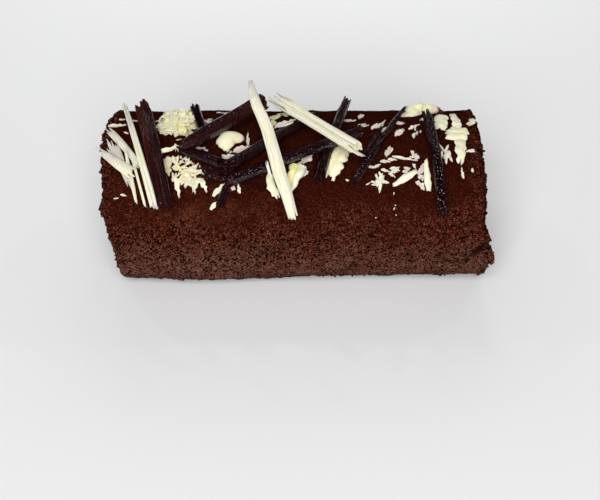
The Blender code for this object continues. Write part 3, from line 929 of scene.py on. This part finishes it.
whiteFlakes = {
    "white_curl_shell": {
        **flake, "turns": [(0, 0.34), (0.4, 0.04), (0.7, -0.10), (1, -0.22)], "fray": (0.4, 0.6),
        "crinkle": 0.25, "ridge": 0.16, "wavy": 0.14,
        "drift": [(0, 1.6), (0.25, -0.2), (0.5, -0.8), (0.8, -0.3), (1, 0.4)],
        "taper": [(0, 0.22), (0.12, 0.5), (0.35, 0.72), (0.7, 1.05), (0.92, 0.9), (1, 0.6)],
        "butter": [(0, 0.6), (0.3, 0.3), (0.6, 0.1), (0.9, 0.5), (1, 0.9)], "twist": 0.08,
        # the dark brown at the curled end is painted shade inside the curl
        "thin": [(0, 1), (0.07, 0.8), (0.18, 0), (1, 0)], "cocoa": [(0, 0.9), (0.05, 0.6), (0.1, 0)],
    },
    "white_curl_centre": {
        **flake, "turns": [(0, 0.30), (0.2, 0.06), (0.40, -0.12), (0.48, 0.14), (0.7, 0.02), (1, -0.26)],
        "fray": (2.5, 1.0), "crinkle": 0.6,
        "taper": [(0, 1.15), (0.3, 1.0), (0.6, 0.8), (0.85, 0.5), (1, 0.2)], "drift": [(0, 0.6), (1, -0.6)],
        "wavy": 0.2, "reach": (-0.02, 1.08), "ridge": 0.14, "shift": (-2.2, 0.0), "half": 0.9,
        "butter": [(0, 0.6), (0.1, 1), (0.5, 1), (0.58, 0.15), (1, 0)],
        "sideTone": [(0, 0), (0.65, 0), (1, 0.55)],
    },
    "white_curl_crinkled": {
        **flake, "turns": [(0, 0.16), (0.3, -0.02), (0.5, 0.06), (0.7, -0.06), (1, -0.16)],
        "fray": (1.5, 2.0), "crinkle": 0.3, "crinklePitch": 520, "butter": [(0, 0.5), (0.6, 0.4), (1, 0.25)],
        "taper": [(0, 0.8), (0.5, 1.1), (0.8, 1.0), (1, 0.7)], "reach": (-0.22, 1.08), "ridge": 0.12,
        "drift": [(0, 1.2), (1, -0.8)], "thin": [(0, 0.3), (0.3, 0), (1, 0.1)],
        "sideTone": [(0, 0), (0.8, 0), (1, 0.5)], "shift": (-1.2, 0),
    },
    "white_flake_back": {
        **flake, "flat": (0.0, -0.55, 0.83), "turns": [(0, 0.14), (0.3, -0.02), (0.5, 0.05), (1, -0.13)],
        "fray": (3.0, 3.0), "cocoa": [(-0.3, 1), (-0.17, 0.9), (-0.09, 0)],
        "butter": [(0, 0.1), (0.5, 0.5), (1, 0.2)], "reach": (-0.27, 1.14), "crinkle": 1.3,
        "crinklePitch": 330, "taper": [(0, 0.45), (0.25, 0.85), (0.65, 1.25), (1, 0.5)], "half": 1.0,
        "drift": [(0, -1.4), (0.3, -1.2), (0.6, 0.0), (1, 2.2)], "shift": (2.5, 0.8),
        "thin": [(0, 0.5), (0.15, 0.0), (0.85, 0.0), (1, 0.5)], "wavy": 0.2,
    },
    "white_flake_narrow": {
        **flake, "turns": arch, "half": 0.78, "fray": (1.5, 1.0), "crinkle": 0.5,
        "taper": [(0, 0.5), (0.3, 0.7), (0.75, 1), (1, 0.7)],
    },
    "white_flake_slanted": {
        **flake, "turns": arch, "half": 0.76, "reach": (0.03, 0.97), "thin": [(0, 0.3), (0.7, 0.1), (1, 0.4)],
        "fray": (2.0, 1.5), "crinkle": 0.7, "taper": [(0, 0.5), (0.5, 1), (1, 0.55)],
    },
    "white_flake_square": {
        **flake, "turns": almostFlat, "fray": (1.5, 1.5), "crinkle": 0.7, "reach": (-0.15, 1.12),
        "half": 1.12, "butter": [(0, 0.3), (1, 0.1)],
    },
    "white_flake_right_back": {
        **flake, "turns": almostFlat, "fray": (2.0, 1.5), "crinkle": 0.7, "reach": (-0.12, 1.5), "half": 0.8,
        "taper": [(0, 0.6), (0.4, 1), (0.7, 0.85), (1, 1.1)],
    },
    "white_flake_right_wide": {
        **flake, "turns": [(0, 0.1), (0.4, -0.03), (0.6, 0.04), (1, -0.1)], "fray": (1.5, 1.5),
        "crinkle": 0.8, "reach": (0.1, 0.9), "half": 1.2, "butter": [(0, 0.1), (0.5, 0.3), (1, 0.1)],
        "wavy": 0.5, "prong": 4.0, "taper": [(0, 0.75), (0.25, 1.15), (0.5, 0.8), (0.8, 1.1), (1, 0.7)],
    },
    "white_flake_right_front": {
        **flake, "turns": almostFlat, "fray": (1.5, 2.5), "crinkle": 0.7, "half": 0.92, "reach": (-0.28, 1.0),
        "butter": [(0, 0.2), (1, 0.3)], "taper": [(0, 1), (0.6, 0.85), (1, 0.45)],
    },
    "white_flake_leaning": {
        **flake, "turns": arch, "fray": (1.5, 1.5), "crinkle": 0.5, "taper": [(0, 0.6), (0.6, 1.3), (1, 0.8)],
        "shift": (2.2, 0.0), "half": 0.95, "reach": (0.02, 0.95), "drift": [(0, 0.2), (0.5, 0.6), (1, 2.4)],
    },
}

stickChocolate = makeChocolate("stickChocolate", stickLook)
whiteChocolate = makeChocolate("whiteChocolate", whiteLook)
for number, (node, look) in enumerate({**whiteSticks, **whiteFlakes}.items()):
    material = stickChocolate if node in whiteSticks else whiteChocolate
    makeDrawn(node, look, material, "white_chocolate", 41 + number)
print("white sticks and flakes", len(whiteSticks) + len(whiteFlakes))

# shavings: a few models, copied with their own mesh, laid on the roll and on the heaps

plainShaving = {"jagged": 0.3, "uneven": 0.35, "cup": 0.2, "twist": 0.0, "angle": 26}


def makeShaving(name, own, seed):
    # one unit long, thinner towards its ends, curled about its own width
    look = {**plainShaving, **own}
    rows, columns = look["grid"]
    deselectAll()
    bpy.ops.mesh.primitive_grid_add(x_subdivisions=rows, y_subdivisions=columns, size=1)
    piece = bpy.context.object
    piece.name = name
    co = corners(piece)
    u, v = co[:, 0] + 0.5, co[:, 1] * 2
    ragged = np.array([noise.noise(Vector((a * 7.3, b * 2.9, seed * 1.7))) +
                       look["jagged"] * (noise.cell(Vector((a * 9.1, b * 2.9 + 4, seed))) - 0.5)
                       for a, b in zip(u, v)])
    y = v * levels(look["outline"], u) * look["width"] / 2 * (1 + look["uneven"] * ragged)
    bend = look["curl"] * 2 * math.pi
    radius = 1 / bend
    x = radius * np.sin((u - 0.5) * bend) + np.where((u < 0.01) | (u > 0.99), 0.12 * ragged, 0.0)
    z = radius * (1 - np.cos((u - 0.5) * bend)) + look["cup"] * y * y / look["width"] * 2 + 0.05 * ragged
    turn = look["twist"] * (u - 0.5) * 2 * math.pi
    place = np.stack([x, y * np.cos(turn) - z * np.sin(turn) * 0.3, z + y * np.sin(turn)], 1)
    moveCorners(piece, place)
    paint(piece, "grain", np.stack([u * 0.006, v * 0.0012, np.full(len(u), seed * 0.017)], 1))
    paint(piece, "thin", np.zeros(len(u)))
    paint(piece, "butter", np.zeros(len(u)))
    applyModifier(piece, "SOLIDIFY", thickness=look["thick"], offset=0.0)
    makeActive(piece)
    bpy.ops.object.shade_smooth_by_angle(angle=math.radians(look["angle"]))
    piece["wide"] = look["width"]
    return piece


shavingLooks = {
    "curl": {"grid": (9, 2), "width": 0.34, "curl": 0.55, "thick": 0.09, "twist": 0.12,
             "outline": [(0, 0.5), (0.3, 1), (0.8, 0.9), (1, 0.35)]},
    "petal": {"grid": (9, 5), "width": 0.55, "curl": 0.16, "thick": 0.12, "cup": -0.5, "uneven": 0.8,
              "angle": 80, "outline": [(0, 0.4), (0.2, 0.9), (0.7, 1), (1, 0.45)]},
    "hook": {"grid": (8, 2), "width": 0.42, "curl": 0.34, "thick": 0.11,
             "outline": [(0, 0.3), (0.4, 1), (1, 0.6)]},
    "sliver": {"grid": (6, 2), "width": 0.26, "curl": 0.04, "thick": 0.09,
               "outline": [(0, 0.25), (0.35, 1), (0.8, 0.8), (1, 0.2)]},
    "flake": {"grid": (6, 4), "width": 0.72, "curl": 0.07, "thick": 0.10, "uneven": 0.7, "jagged": 0.9,
              "outline": [(0, 0.45), (0.3, 1), (0.7, 0.9), (1, 0.4)]},
    "shard": {"grid": (6, 3), "width": 0.46, "curl": 0.05, "thick": 0.12, "uneven": 0.6, "jagged": 0.7,
              "outline": [(0, 0.55), (0.25, 1), (0.6, 0.75), (1, 0.18)]},
}
shavings = {kind: makeShaving("model_" + kind, look, 3 + number)
            for number, (kind, look) in enumerate(shavingLooks.items())}


def layShaving(kind, place, up, heading, size, thin, tilt, butter=0.0):
    # size is length and width in mm; heading is in degrees from +X, tilt is about both flat axes
    model = shavings[kind]
    piece = bpy.data.objects.new("shaving", model.data.copy())
    bpy.context.collection.objects.link(piece)
    heading = math.radians(heading)
    across = up.cross(Vector((math.cos(heading), math.sin(heading), 0))).normalized()
    turn = Matrix((across.cross(up).normalized(), across, up)).transposed()
    turn = turn @ Matrix.Rotation(tilt[0], 3, "X") @ Matrix.Rotation(tilt[1], 3, "Y")
    length, wide = size[0] * mm, size[1] * mm / model["wide"]
    scale = Matrix.Diagonal((length, wide, min(length, 1.6 * wide)))
    piece.data.transform(Matrix.Translation(place) @ (turn @ scale).to_4x4())
    for layer, value in (("thin", thin), ("butter", butter)):
        piece.data.attributes[layer].data.foreach_set("value", [value] * len(piece.data.vertices))
    return piece


rollTree = BVHTree.FromObject(rollPiece, bpy.context.evaluated_depsgraph_get())


def onRoll(x, y):
    # the top of the sponge under a place seen from above
    spot, up, _, _ = rollTree.ray_cast(Vector((x, y, outside)), Vector((0, 0, -1)))
    if spot is None:
        spot, up, _, _ = rollTree.find_nearest(Vector((x, y, 60 * mm)))
    smooth = Vector((0, y * 14, 1)).normalized()
    return spot, (up * 0.3 + smooth * 0.7).normalized()


heaps = {
    "shavings_heap_back": {
        "core": 0.9, "shift": (1.0, -0.5), "stretch": (1.02, 1.05, 0.55), "lobes": 0.5, "butter": 0.7,
        "thin": (0.0, 0.02), "seed": 4, "lumps": 0.3, "pitch": 3.0,
        # kinds, count, lengths, widths, reach from the middle, heading and its spread, tilt
        "layers": ((("flake",), 26, (4.0, 7.0), (3.2, 5.2), (0.0, 0.95), (20, 90), 0.10),
                   (("flake", "hook"), 24, (2.0, 3.8), (1.6, 2.8), (0.2, 1.05), (10, 90), 0.22),
                   (("flake", "sliver"), 14, (1.4, 3.2), (0.9, 1.8), (0.95, 1.25), (-60, 90), 0.2)),
    },
    "shavings_heap_front": {
        "core": 0.5, "shift": (0.5, 5.0), "stretch": (0.98, 0.95, 0.7), "lobes": 0.3, "butter": 0.9,
        "thin": (0.0, 0.6), "seed": 9, "lumps": 0.6, "pitch": 3.2,
        "layers": ((("sliver", "shard", "sliver"), 62, (4.5, 9.0), (1.4, 2.8), (0.0, 1.0), (30, 50), 0.25),
                   (("petal", "shard"), 16, (4.5, 7.5), (2.6, 3.8), (0.0, 0.9), (40, 60), 0.2),
                   (("curl", "sliver"), 22, (2.0, 4.5), (0.7, 1.3), (0.4, 1.15), (80, 60), 0.4)),
        # one long sliver left of the heap, over the dark pencil's edge: x, y, length, width, heading, lift
        "aside": (-7.0, 10.5, 15.5, 3.0, 24, 5.5),
    },
}


def heapCore(look, centre, axes, half):
    # a lumpy ball, flattened onto the roll
    deselectAll()
    bpy.ops.mesh.primitive_ico_sphere_add(subdivisions=6, radius=1)
    core = bpy.context.object
    ball = corners(core)
    shifted = Vector((look["seed"], 0, 0))
    lumps = np.array([noise.fractal(Vector(p) * look["pitch"] + shifted, 0.5, 2.1, 4) for p in ball])
    lobes = np.array([noise.noise(Vector((p[0] * 2.1, p[1] * 2.1, look["seed"] * 3.3))) for p in ball])
    size = look["core"] * (1 + look["lumps"] * lumps + look["lobes"] * lobes)[:, None]
    place = centre + ball * size * half * (1, 1, 1.15) @ axes - axes[2] * half[2] * 0.35
    moveCorners(core, place)
    paint(core, "grain", place)
    paint(core, "thin", np.zeros(len(ball)))
    paint(core, "butter", np.clip(look["butter"] + 0.3 * lumps, 0, 1))
    core.data.shade_smooth()
    return core


def makeHeap(node, look):
    co = corners(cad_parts[node]) + np.array((*look["shift"], 0)) * mm
    centre = (co.max(0) + co.min(0)) / 2
    ahead, _, up = np.linalg.svd(co - co.mean(0))[2]
    up = up if up[2] > 0 else -up
    across = np.cross(up, ahead)
    axes = np.array((ahead, across, up))
    half = np.abs((co - centre) @ axes.T).max(0) * look["stretch"]
    core = heapCore(look, centre, axes, half)
    tree = BVHTree.FromObject(core, bpy.context.evaluated_depsgraph_get())
    chance = random.Random(look["seed"])
    made = [core]
    upward = Vector(up)
    for kinds, count, lengths, widths, reaches, headings, tilt in look["layers"]:
        for number in range(count):
            reach = math.sqrt(chance.uniform(reaches[0] ** 2, reaches[1] ** 2))
            turn = chance.random() * 2 * math.pi
            flat = centre + (ahead * half[0] * math.cos(turn) + across * half[1] * math.sin(turn)) * reach
            spot, normal, _, _ = tree.ray_cast(Vector(flat) + upward * 30 * mm, -upward, 33 * mm)
            if spot is None or normal.dot(upward) < 0.5:
                spot, normal = onRoll(flat[0], flat[1])
                spot = spot + normal * 0.6 * mm
            normal = (normal * 0.45 + upward * 0.55).normalized()
            spot = spot + normal * chance.uniform(0.0, 0.8) * mm
            butter = look["butter"] * max(0.0, 1 - 0.7 * reach * reach) * chance.uniform(0.4, 1.2)
            made.append(layShaving(chance.choice(kinds), spot, normal, chance.gauss(*headings),
                                   (chance.uniform(*lengths), chance.uniform(*widths)),
                                   chance.uniform(*look["thin"]) * reach,
                                   (chance.gauss(0, tilt), chance.gauss(0, tilt)), butter))
    if "aside" in look:
        dx, dy, length, wide, heading, lift = look["aside"]
        spot, normal = onRoll(centre[0] + dx * mm, centre[1] + dy * mm)
        made.append(layShaving("shard", spot + normal * lift * mm, normal, heading, (length, wide), 0.1,
                               (0.0, 0.05)))
    finishPiece(joinAll(made, camel(node)), whiteChocolate, "white_chocolate", node)


for node, look in heaps.items():
    makeHeap(node, look)
print("heaps", len(heaps))


def placeBeside(chance, node, shift, spread):
    # a place on the roll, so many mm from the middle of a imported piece
    low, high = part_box(node)
    return onRoll(*[(low[k] + high[k]) / 2 + (shift[k] + chance.gauss(0, spread[k])) * mm for k in (0, 1)])


def one(kind, shift, length, wide, heading, *rest):
    # a single flake, placed as listed
    return (kind, shift, 1, (0, 0), (length, length), (wide, wide), heading, 0, *rest)


looseFlakes = {
    "seed": 21, "spread": 0.7, "turn": 0.6, "tilt": (0.12, 0.10), "lift": 0.35, "liftSpread": 0.25,
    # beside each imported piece: kind, shift, count, spread, lengths, widths, heading and its spread, thin,
    # and where it matters how buttery and how far lifted
    "patches": {
        "white_strip_upper": (
            one("shard", (-3.5, 18), 9.5, 2.4, 14, 0.55),
            one("shard", (-1.5, 26), 3.5, 2.0, 10, 0.5),
            ("flake", (5.0, 24), 3, (2.0, 0.8), (2.0, 4.5), (1.2, 2.2), 5, 20, 0.5),
            one("sliver", (2.5, 11), 3.4, 1.2, -30, 0.4),
            one("sliver", (-5.0, -7), 7.5, 1.0, -55, 0.5),
        ),
        "white_strip_lower": (
            ("sliver", (1.5, -15), 3, (1.6, 1.2), (1.8, 4.0), (0.7, 1.1), 10, 18, 0.3),
        ),
        "dark_splinter_front": (
            one("shard", (-1.5, 5.5), 11, 4.2, 55, 0.15),
            one("shard", (-3.2, -0.5), 9.5, 3.8, 52, 0.2),
            one("shard", (9.2, 5.7), 5.5, 2.6, 100, 0.2),
            ("flake", (5.7, 5.7), 2, (1.0, 1.0), (2.0, 3.0), (1.5, 2.2), 60, 40, 0.6),
        ),
        "white_curl_shell": (
            one("flake", (7.5, -5), 10, 6.0, 20, 0.75),
            one("shard", (10.0, 3.5), 9.0, 2.4, 95, 0.8),
            ("shard", (-2.0, -10), 3, (2.6, 1.4), (4.0, 7.5), (1.5, 2.6), -20, 25, 0.55),
            ("flake", (-16, -4.5), 3, (2.0, 1.5), (2.0, 4.0), (1.2, 2.4), 30, 60, 0.5),
        ),
        "shavings_heap_back": (
            ("flake", (20, 8), 6, (3.5, 4.0), (2.0, 5.0), (1.4, 3.0), 20, 60, 0.55),
            ("flake", (26, 15), 4, (3.0, 2.0), (1.6, 3.5), (1.2, 2.4), 20, 60, 0.6),
        ),
        "white_pencil_resting": (
            one("flake", (-18.2, 11.5), 15, 4.8, 42, 1.0, 0.0, 5.0),
            ("flake", (-18.5, 31), 5, (2.8, 1.2), (2.5, 5.0), (1.5, 3.0), 20, 40, 0.75),
            one("flake", (-26.6, 11.0), 8.5, 4.8, 66, 0.1, 0.6, 5.0),
            ("flake", (-24.6, 17.5), 2, (1.0, 1.2), (5.5, 7.0), (3.5, 4.5), 50, 30, 0.1, 0.9, 4.5),
        ),
        "shavings_heap_front": (
            one("shard", (-2.4, -4.0), 11.5, 4.0, -80, 0.5),
            one("shard", (5.4, -2.2), 12.5, 4.4, -66, 0.0),
            one("shard", (8.4, -1.8), 12.0, 3.8, -104, 0.0),
            one("shard", (12.6, -3.0), 8.5, 4.2, -66, 0.2),
            ("sliver", (11.5, 3.0), 3, (2.0, 1.4), (5.0, 8.0), (1.4, 2.2), -80, 25, 0.1),
            ("flake", (-8.5, 6.0), 3, (1.6, 1.6), (5.0, 7.0), (3.5, 4.5), 60, 40, 0.0, 0.9),
            ("shard", (-4.6, 20.5), 2, (0.8, 1.5), (5.0, 9.0), (1.4, 2.2), -70, 12, 0.2, 0.3),
        ),
        "white_curl_centre": (
            ("flake", (6.0, 14), 2, (1.5, 1.5), (5.0, 8.0), (3.0, 5.0), 60, 30, 0.85),
            ("flake", (3.0, 5), 2, (1.2, 1.2), (4.0, 6.0), (3.0, 4.0), 40, 50, 0.2),
        ),
        "dark_pencil_upright": (
            ("flake", (4.0, -3), 3, (1.2, 3.0), (3.0, 5.0), (2.0, 3.0), 70, 40, 0.6),
            one("flake", (11.5, 19), 7.0, 3.2, -10, 0.75),
            one("flake", (17.5, 25), 7.5, 3.2, 82, 0.55),
        ),
        "dark_pencil_slanted": (
            ("shard", (-9.0, 17), 2, (1.5, 1.5), (4.0, 6.5), (1.8, 2.8), 40, 18, 0.6),
            ("shard", (-1.5, 20), 5, (3.0, 3.0), (3.0, 6.5), (1.4, 2.6), 45, 30, 0.5),
            ("flake", (2.5, 15), 2, (1.6, 1.6), (4.0, 6.5), (2.4, 3.6), 60, 30, 0.15),
        ),
        "white_flake_back": (
            ("flake", (-9.5, -16), 2, (2.0, 1.0), (4.5, 7.0), (2.0, 3.2), -8, 15, 0.75),
            ("shard", (-11.5, -26), 4, (2.4, 2.0), (3.5, 8.0), (1.8, 3.0), 42, 22, 0.65),
            ("shard", (-3.5, -20), 3, (2.2, 1.4), (2.5, 5.0), (1.2, 2.2), 15, 30, 0.4),
            ("sliver", (-1.5, -27), 6, (2.6, 2.6), (2.5, 5.0), (0.8, 1.6), 70, 50, 0.55),
            ("flake", (3.0, -12), 3, (1.4, 2.4), (1.6, 3.5), (1.0, 2.0), 60, 50, 0.6),
        ),
        "white_flake_slanted": (
            one("flake", (-9.0, 18), 7.5, 4.5, 75, 0.85),
            ("shard", (-9.0, 12), 3, (2.6, 0.9), (4.5, 8.5), (1.8, 2.6), 2, 9, 0.8),
            one("shard", (0.5, 12.5), 13.5, 2.0, -14, 0.45),
            ("flake", (6.5, 14), 5, (2.0, 4.0), (2.5, 5.0), (1.4, 2.6), 80, 40, 0.75),
            ("flake", (9.5, 8), 6, (2.0, 3.5), (3.0, 6.0), (1.8, 3.2), 80, 35, 0.85),
            ("shard", (-17, 7.5), 3, (2.0, 1.0), (3.0, 5.0), (1.6, 2.6), 10, 30, 0.6),
            ("flake", (-5.5, 6.5), 2, (1.4, 0.8), (3.5, 5.5), (1.8, 2.8), 20, 25, 0.2),
            ("flake", (1.5, 6.0), 3, (2.0, 1.2), (2.6, 5.0), (1.6, 3.0), 20, 35, 0.7),
            ("sliver", (-14.5, 1.0), 9, (1.6, 2.0), (4.5, 8.5), (1.4, 2.4), 90, 55, 0.1),
            ("shard", (-8.0, 4.0), 5, (2.2, 1.4), (3.0, 6.0), (1.6, 2.6), -20, 40, 0.55),
            ("shard", (-20, -1.5), 6, (3.4, 1.0), (2.0, 4.5), (1.0, 2.0), 10, 30, 0.75),
            ("flake", (8.5, -2.0), 3, (1.4, 1.4), (3.0, 5.0), (2.0, 3.0), 130, 30, 0.95),
            one("flake", (-33, 0.0), 2.2, 1.2, -20, 0.1),
            ("sliver", (-6.5, -9), 2, (1.5, 4.0), (1.6, 2.8), (0.6, 0.8), 80, 20, 0.3),
            ("flake", (-8.0, -14), 3, (9.0, 3.0), (0.6, 1.0), (0.5, 0.8), 0, 90, 0.1),
        ),
        "white_flake_right_wide": (
            ("flake", (10.6, 13.5), 3, (1.2, 1.6), (4.5, 7.5), (2.8, 4.0), 60, 40, 0.3),
            ("sliver", (-8.0, -16), 12, (3.2, 3.4), (3.0, 7.0), (0.9, 1.7), 92, 22, 0.4),
            ("sliver", (6.5, -13), 4, (2.4, 1.6), (2.0, 4.0), (1.0, 1.6), 15, 30, 0.4),
            one("shard", (1.0, -27), 6.5, 2.0, 98, 0.35),
            ("sliver", (6.5, -26), 2, (0.6, 1.4), (1.6, 3.0), (0.9, 1.2), 80, 20, 0.5),
        ),
        "white_flake_square": (
            ("flake", (0.0, -4), 5, (5.0, 7.0), (1.2, 2.6), (0.8, 1.6), 40, 60, 0.4),
        ),
        "dark_pencil_lower": (
            ("flake", (-2.0, -6), 5, (16, 3.0), (1.2, 3.0), (0.8, 1.8), 40, 60, 0.5),
        ),
        "dark_pencil_crossing": (
            ("flake", (6.0, -12), 5, (7.0, 3.0), (1.4, 3.4), (1.0, 2.0), 40, 60, 0.5),
        ),
    },
}


def makeLooseFlakes():
    look = looseFlakes
    chance = random.Random(look["seed"])
    made = []
    for beside, patches in look["patches"].items():
        for kind, shift, count, spread, lengths, widths, heading, turn, thin, *rich in patches:
            butter, lift = (*rich, 0.0, 0.0)[:2]
            for number in range(count):
                spot, up = placeBeside(chance, beside, shift, [s * look["spread"] for s in spread])
                length = chance.uniform(*lengths)
                rise = lift + look["lift"] + 0.03 * length
                rise += chance.uniform(0, look["liftSpread"] if count > 1 else 0)
                made.append(layShaving(kind, spot + up * rise * mm, up,
                                       chance.gauss(heading, turn * look["turn"]),
                                       (length, chance.uniform(*widths)),
                                       min(1.0, max(0.0, 0.8 * thin + chance.uniform(-0.35, 0.15))),
                                       [chance.gauss(0, tilt) for tilt in look["tilt"]], butter))
    finishPiece(joinAll(made, "looseFlakes"), whiteChocolate, "white_chocolate")
    return len(made)


darkBits = {
    "seed": 5, "spread": 0.6, "turn": 0.7, "tilt": (0.3, 0.2), "lift": (0.5, 2.4), "thin": (0, 0.5),
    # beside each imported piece: kind, shift, count, spread, lengths, widths, heading and its spread
    "patches": {
        "dark_pencil_short": (
            ("sliver", (9.0, -4), 16, (4.0, 2.5), (5.0, 10), (1.0, 1.8), -25, 35),
            ("shard", (7.0, -6), 34, (5.0, 4.6), (5.0, 9.0), (2.0, 3.4), -50, 50),
            ("sliver", (9.0, -4), 22, (4.4, 4.4), (6.0, 12.0), (1.4, 2.4), 40, 40),
        ),
        "dark_splinter_front": (
            ("sliver", (5.0, 11), 12, (2.5, 3.5), (4.0, 9.0), (0.9, 1.5), 65, 25),
        ),
        "dark_pencil_lower": (
            ("sliver", (-28, -7), 12, (5.0, 1.6), (5.0, 11), (1.0, 1.6), 20, 14),
        ),
        "dark_pencil_crossing": (
            ("shard", (-20, -14), 6, (2.6, 2.0), (3.0, 6.0), (1.2, 2.0), 30, 50),
        ),
        "dark_pencil_upright": (
            ("sliver", (-7.0, -26), 5, (1.6, 3.0), (4.0, 8.0), (0.9, 1.5), 75, 14),
        ),
        "white_flake_back": (
            ("sliver", (10.5, 3), 3, (0.8, 0.8), (2.0, 4.0), (1.4, 2.4), 20, 40),
        ),
        "dark_pencil_right": (
            ("sliver", (1.5, -28), 3, (1.4, 2.0), (2.0, 5.0), (0.9, 1.5), 85, 20),
        ),
    },
}


def makeDarkBits():
    look = darkBits
    chance = random.Random(look["seed"])
    made = []
    for beside, patches in look["patches"].items():
        for kind, shift, count, spread, lengths, widths, heading, turn in patches:
            for number in range(count):
                spot, up = placeBeside(chance, beside, shift, [s * look["spread"] for s in spread])
                made.append(layShaving(kind, spot + up * chance.uniform(*look["lift"]) * mm, up,
                                       chance.gauss(heading, turn * look["turn"]),
                                       (chance.uniform(*lengths), chance.uniform(*widths)),
                                       chance.uniform(*look["thin"]),
                                       [chance.gauss(0, tilt) for tilt in look["tilt"]]))
    finishPiece(joinAll(made, "darkBits"), darkChocolate, "dark_chocolate")
    return len(made)


print("loose flakes", makeLooseFlakes())
print("dark bits", makeDarkBits())
for model in shavings.values():
    bpy.data.objects.remove(model)

# floor, light and camera

studio = {
    "floor": (0.90, 0.905, 0.91), "floorCloud": 0.882, "world": 0.10,
    # each light: place, size, power and the point that it faces
    "lights": {"front": ((-0.15, -1.95, 1.60), 1.9, 77.0, (0, 0, 0.04)),
               "backLeft": ((-0.75, 0.60, 1.0), 0.05, 0.65, (0, 0, 0.04)),
               "backRight": ((0.75, 0.60, 1.0), 0.05, 0.65, (0, 0, 0.04)),
               "back": ((0.1, 0.95, 1.1), 0.04, 0.39, (0, 0, 0.04)),
               "backdrop": ((0.0, 0.75, 0.5), 0.6, 2.4, (0, 0.75, 0)),
               "low": ((0.0, -1.1, 0.22), 0.8, 1.0, (0, 0, 0.04))},
    "glintSize": 0.3,   # bigger lights than this only shape, smaller ones glint
    "distance": 0.794, "elevation": 41.5, "lens": 74.4, "lookAt": (0.0035, 0.0, -0.008),
}


def makeStudio():
    look = studio
    deselectAll()
    bpy.ops.mesh.primitive_plane_add(size=8)
    floor = bpy.context.object
    floor.name = "floor"
    material, tree, shader = startMaterial("paleFloor", Roughness=0.7)
    clouds = cloudy(tree, addNode(tree, "TexCoord").outputs["Object"], 2.0, 2.0)
    tone = mixColour(tree, clouds, grey(look["floorCloud"]), look["floor"])
    tree.links.new(tone, shader.inputs["Base Color"])
    floor.data.materials.append(material)
    world = bpy.data.worlds.new("studio")
    world.use_nodes = True
    background = world.node_tree.nodes["Background"]
    background.inputs["Color"].default_value = (1, 1, 1, 1)
    background.inputs["Strength"].default_value = look["world"]
    world.cycles_visibility.glossy = False
    bpy.context.scene.world = world
    for name, (place, size, power, aim) in look["lights"].items():
        deselectAll()
        bpy.ops.object.light_add(type="AREA", location=place)
        light = bpy.context.object
        light.name = name
        light.data.size = size
        light.data.energy = power
        light.visible_glossy = size < look["glintSize"]
        light.rotation_euler = (Vector(aim) - Vector(place)).to_track_quat("-Z", "Y").to_euler()
    tilt = math.radians(look["elevation"])
    back = Vector((0, -math.cos(tilt), math.sin(tilt)))
    deselectAll()
    bpy.ops.object.camera_add(location=Vector(look["lookAt"]) + back * look["distance"],
                              rotation=(math.pi / 2 - tilt, 0, 0))
    camera = bpy.context.object
    camera.data.lens = look["lens"]
    camera.data.sensor_width = 36
    camera.data.clip_start = 0.01
    bpy.context.scene.camera = camera
    bpy.context.scene.view_settings.view_transform = "Standard"


makeStudio()
print("studio ready")
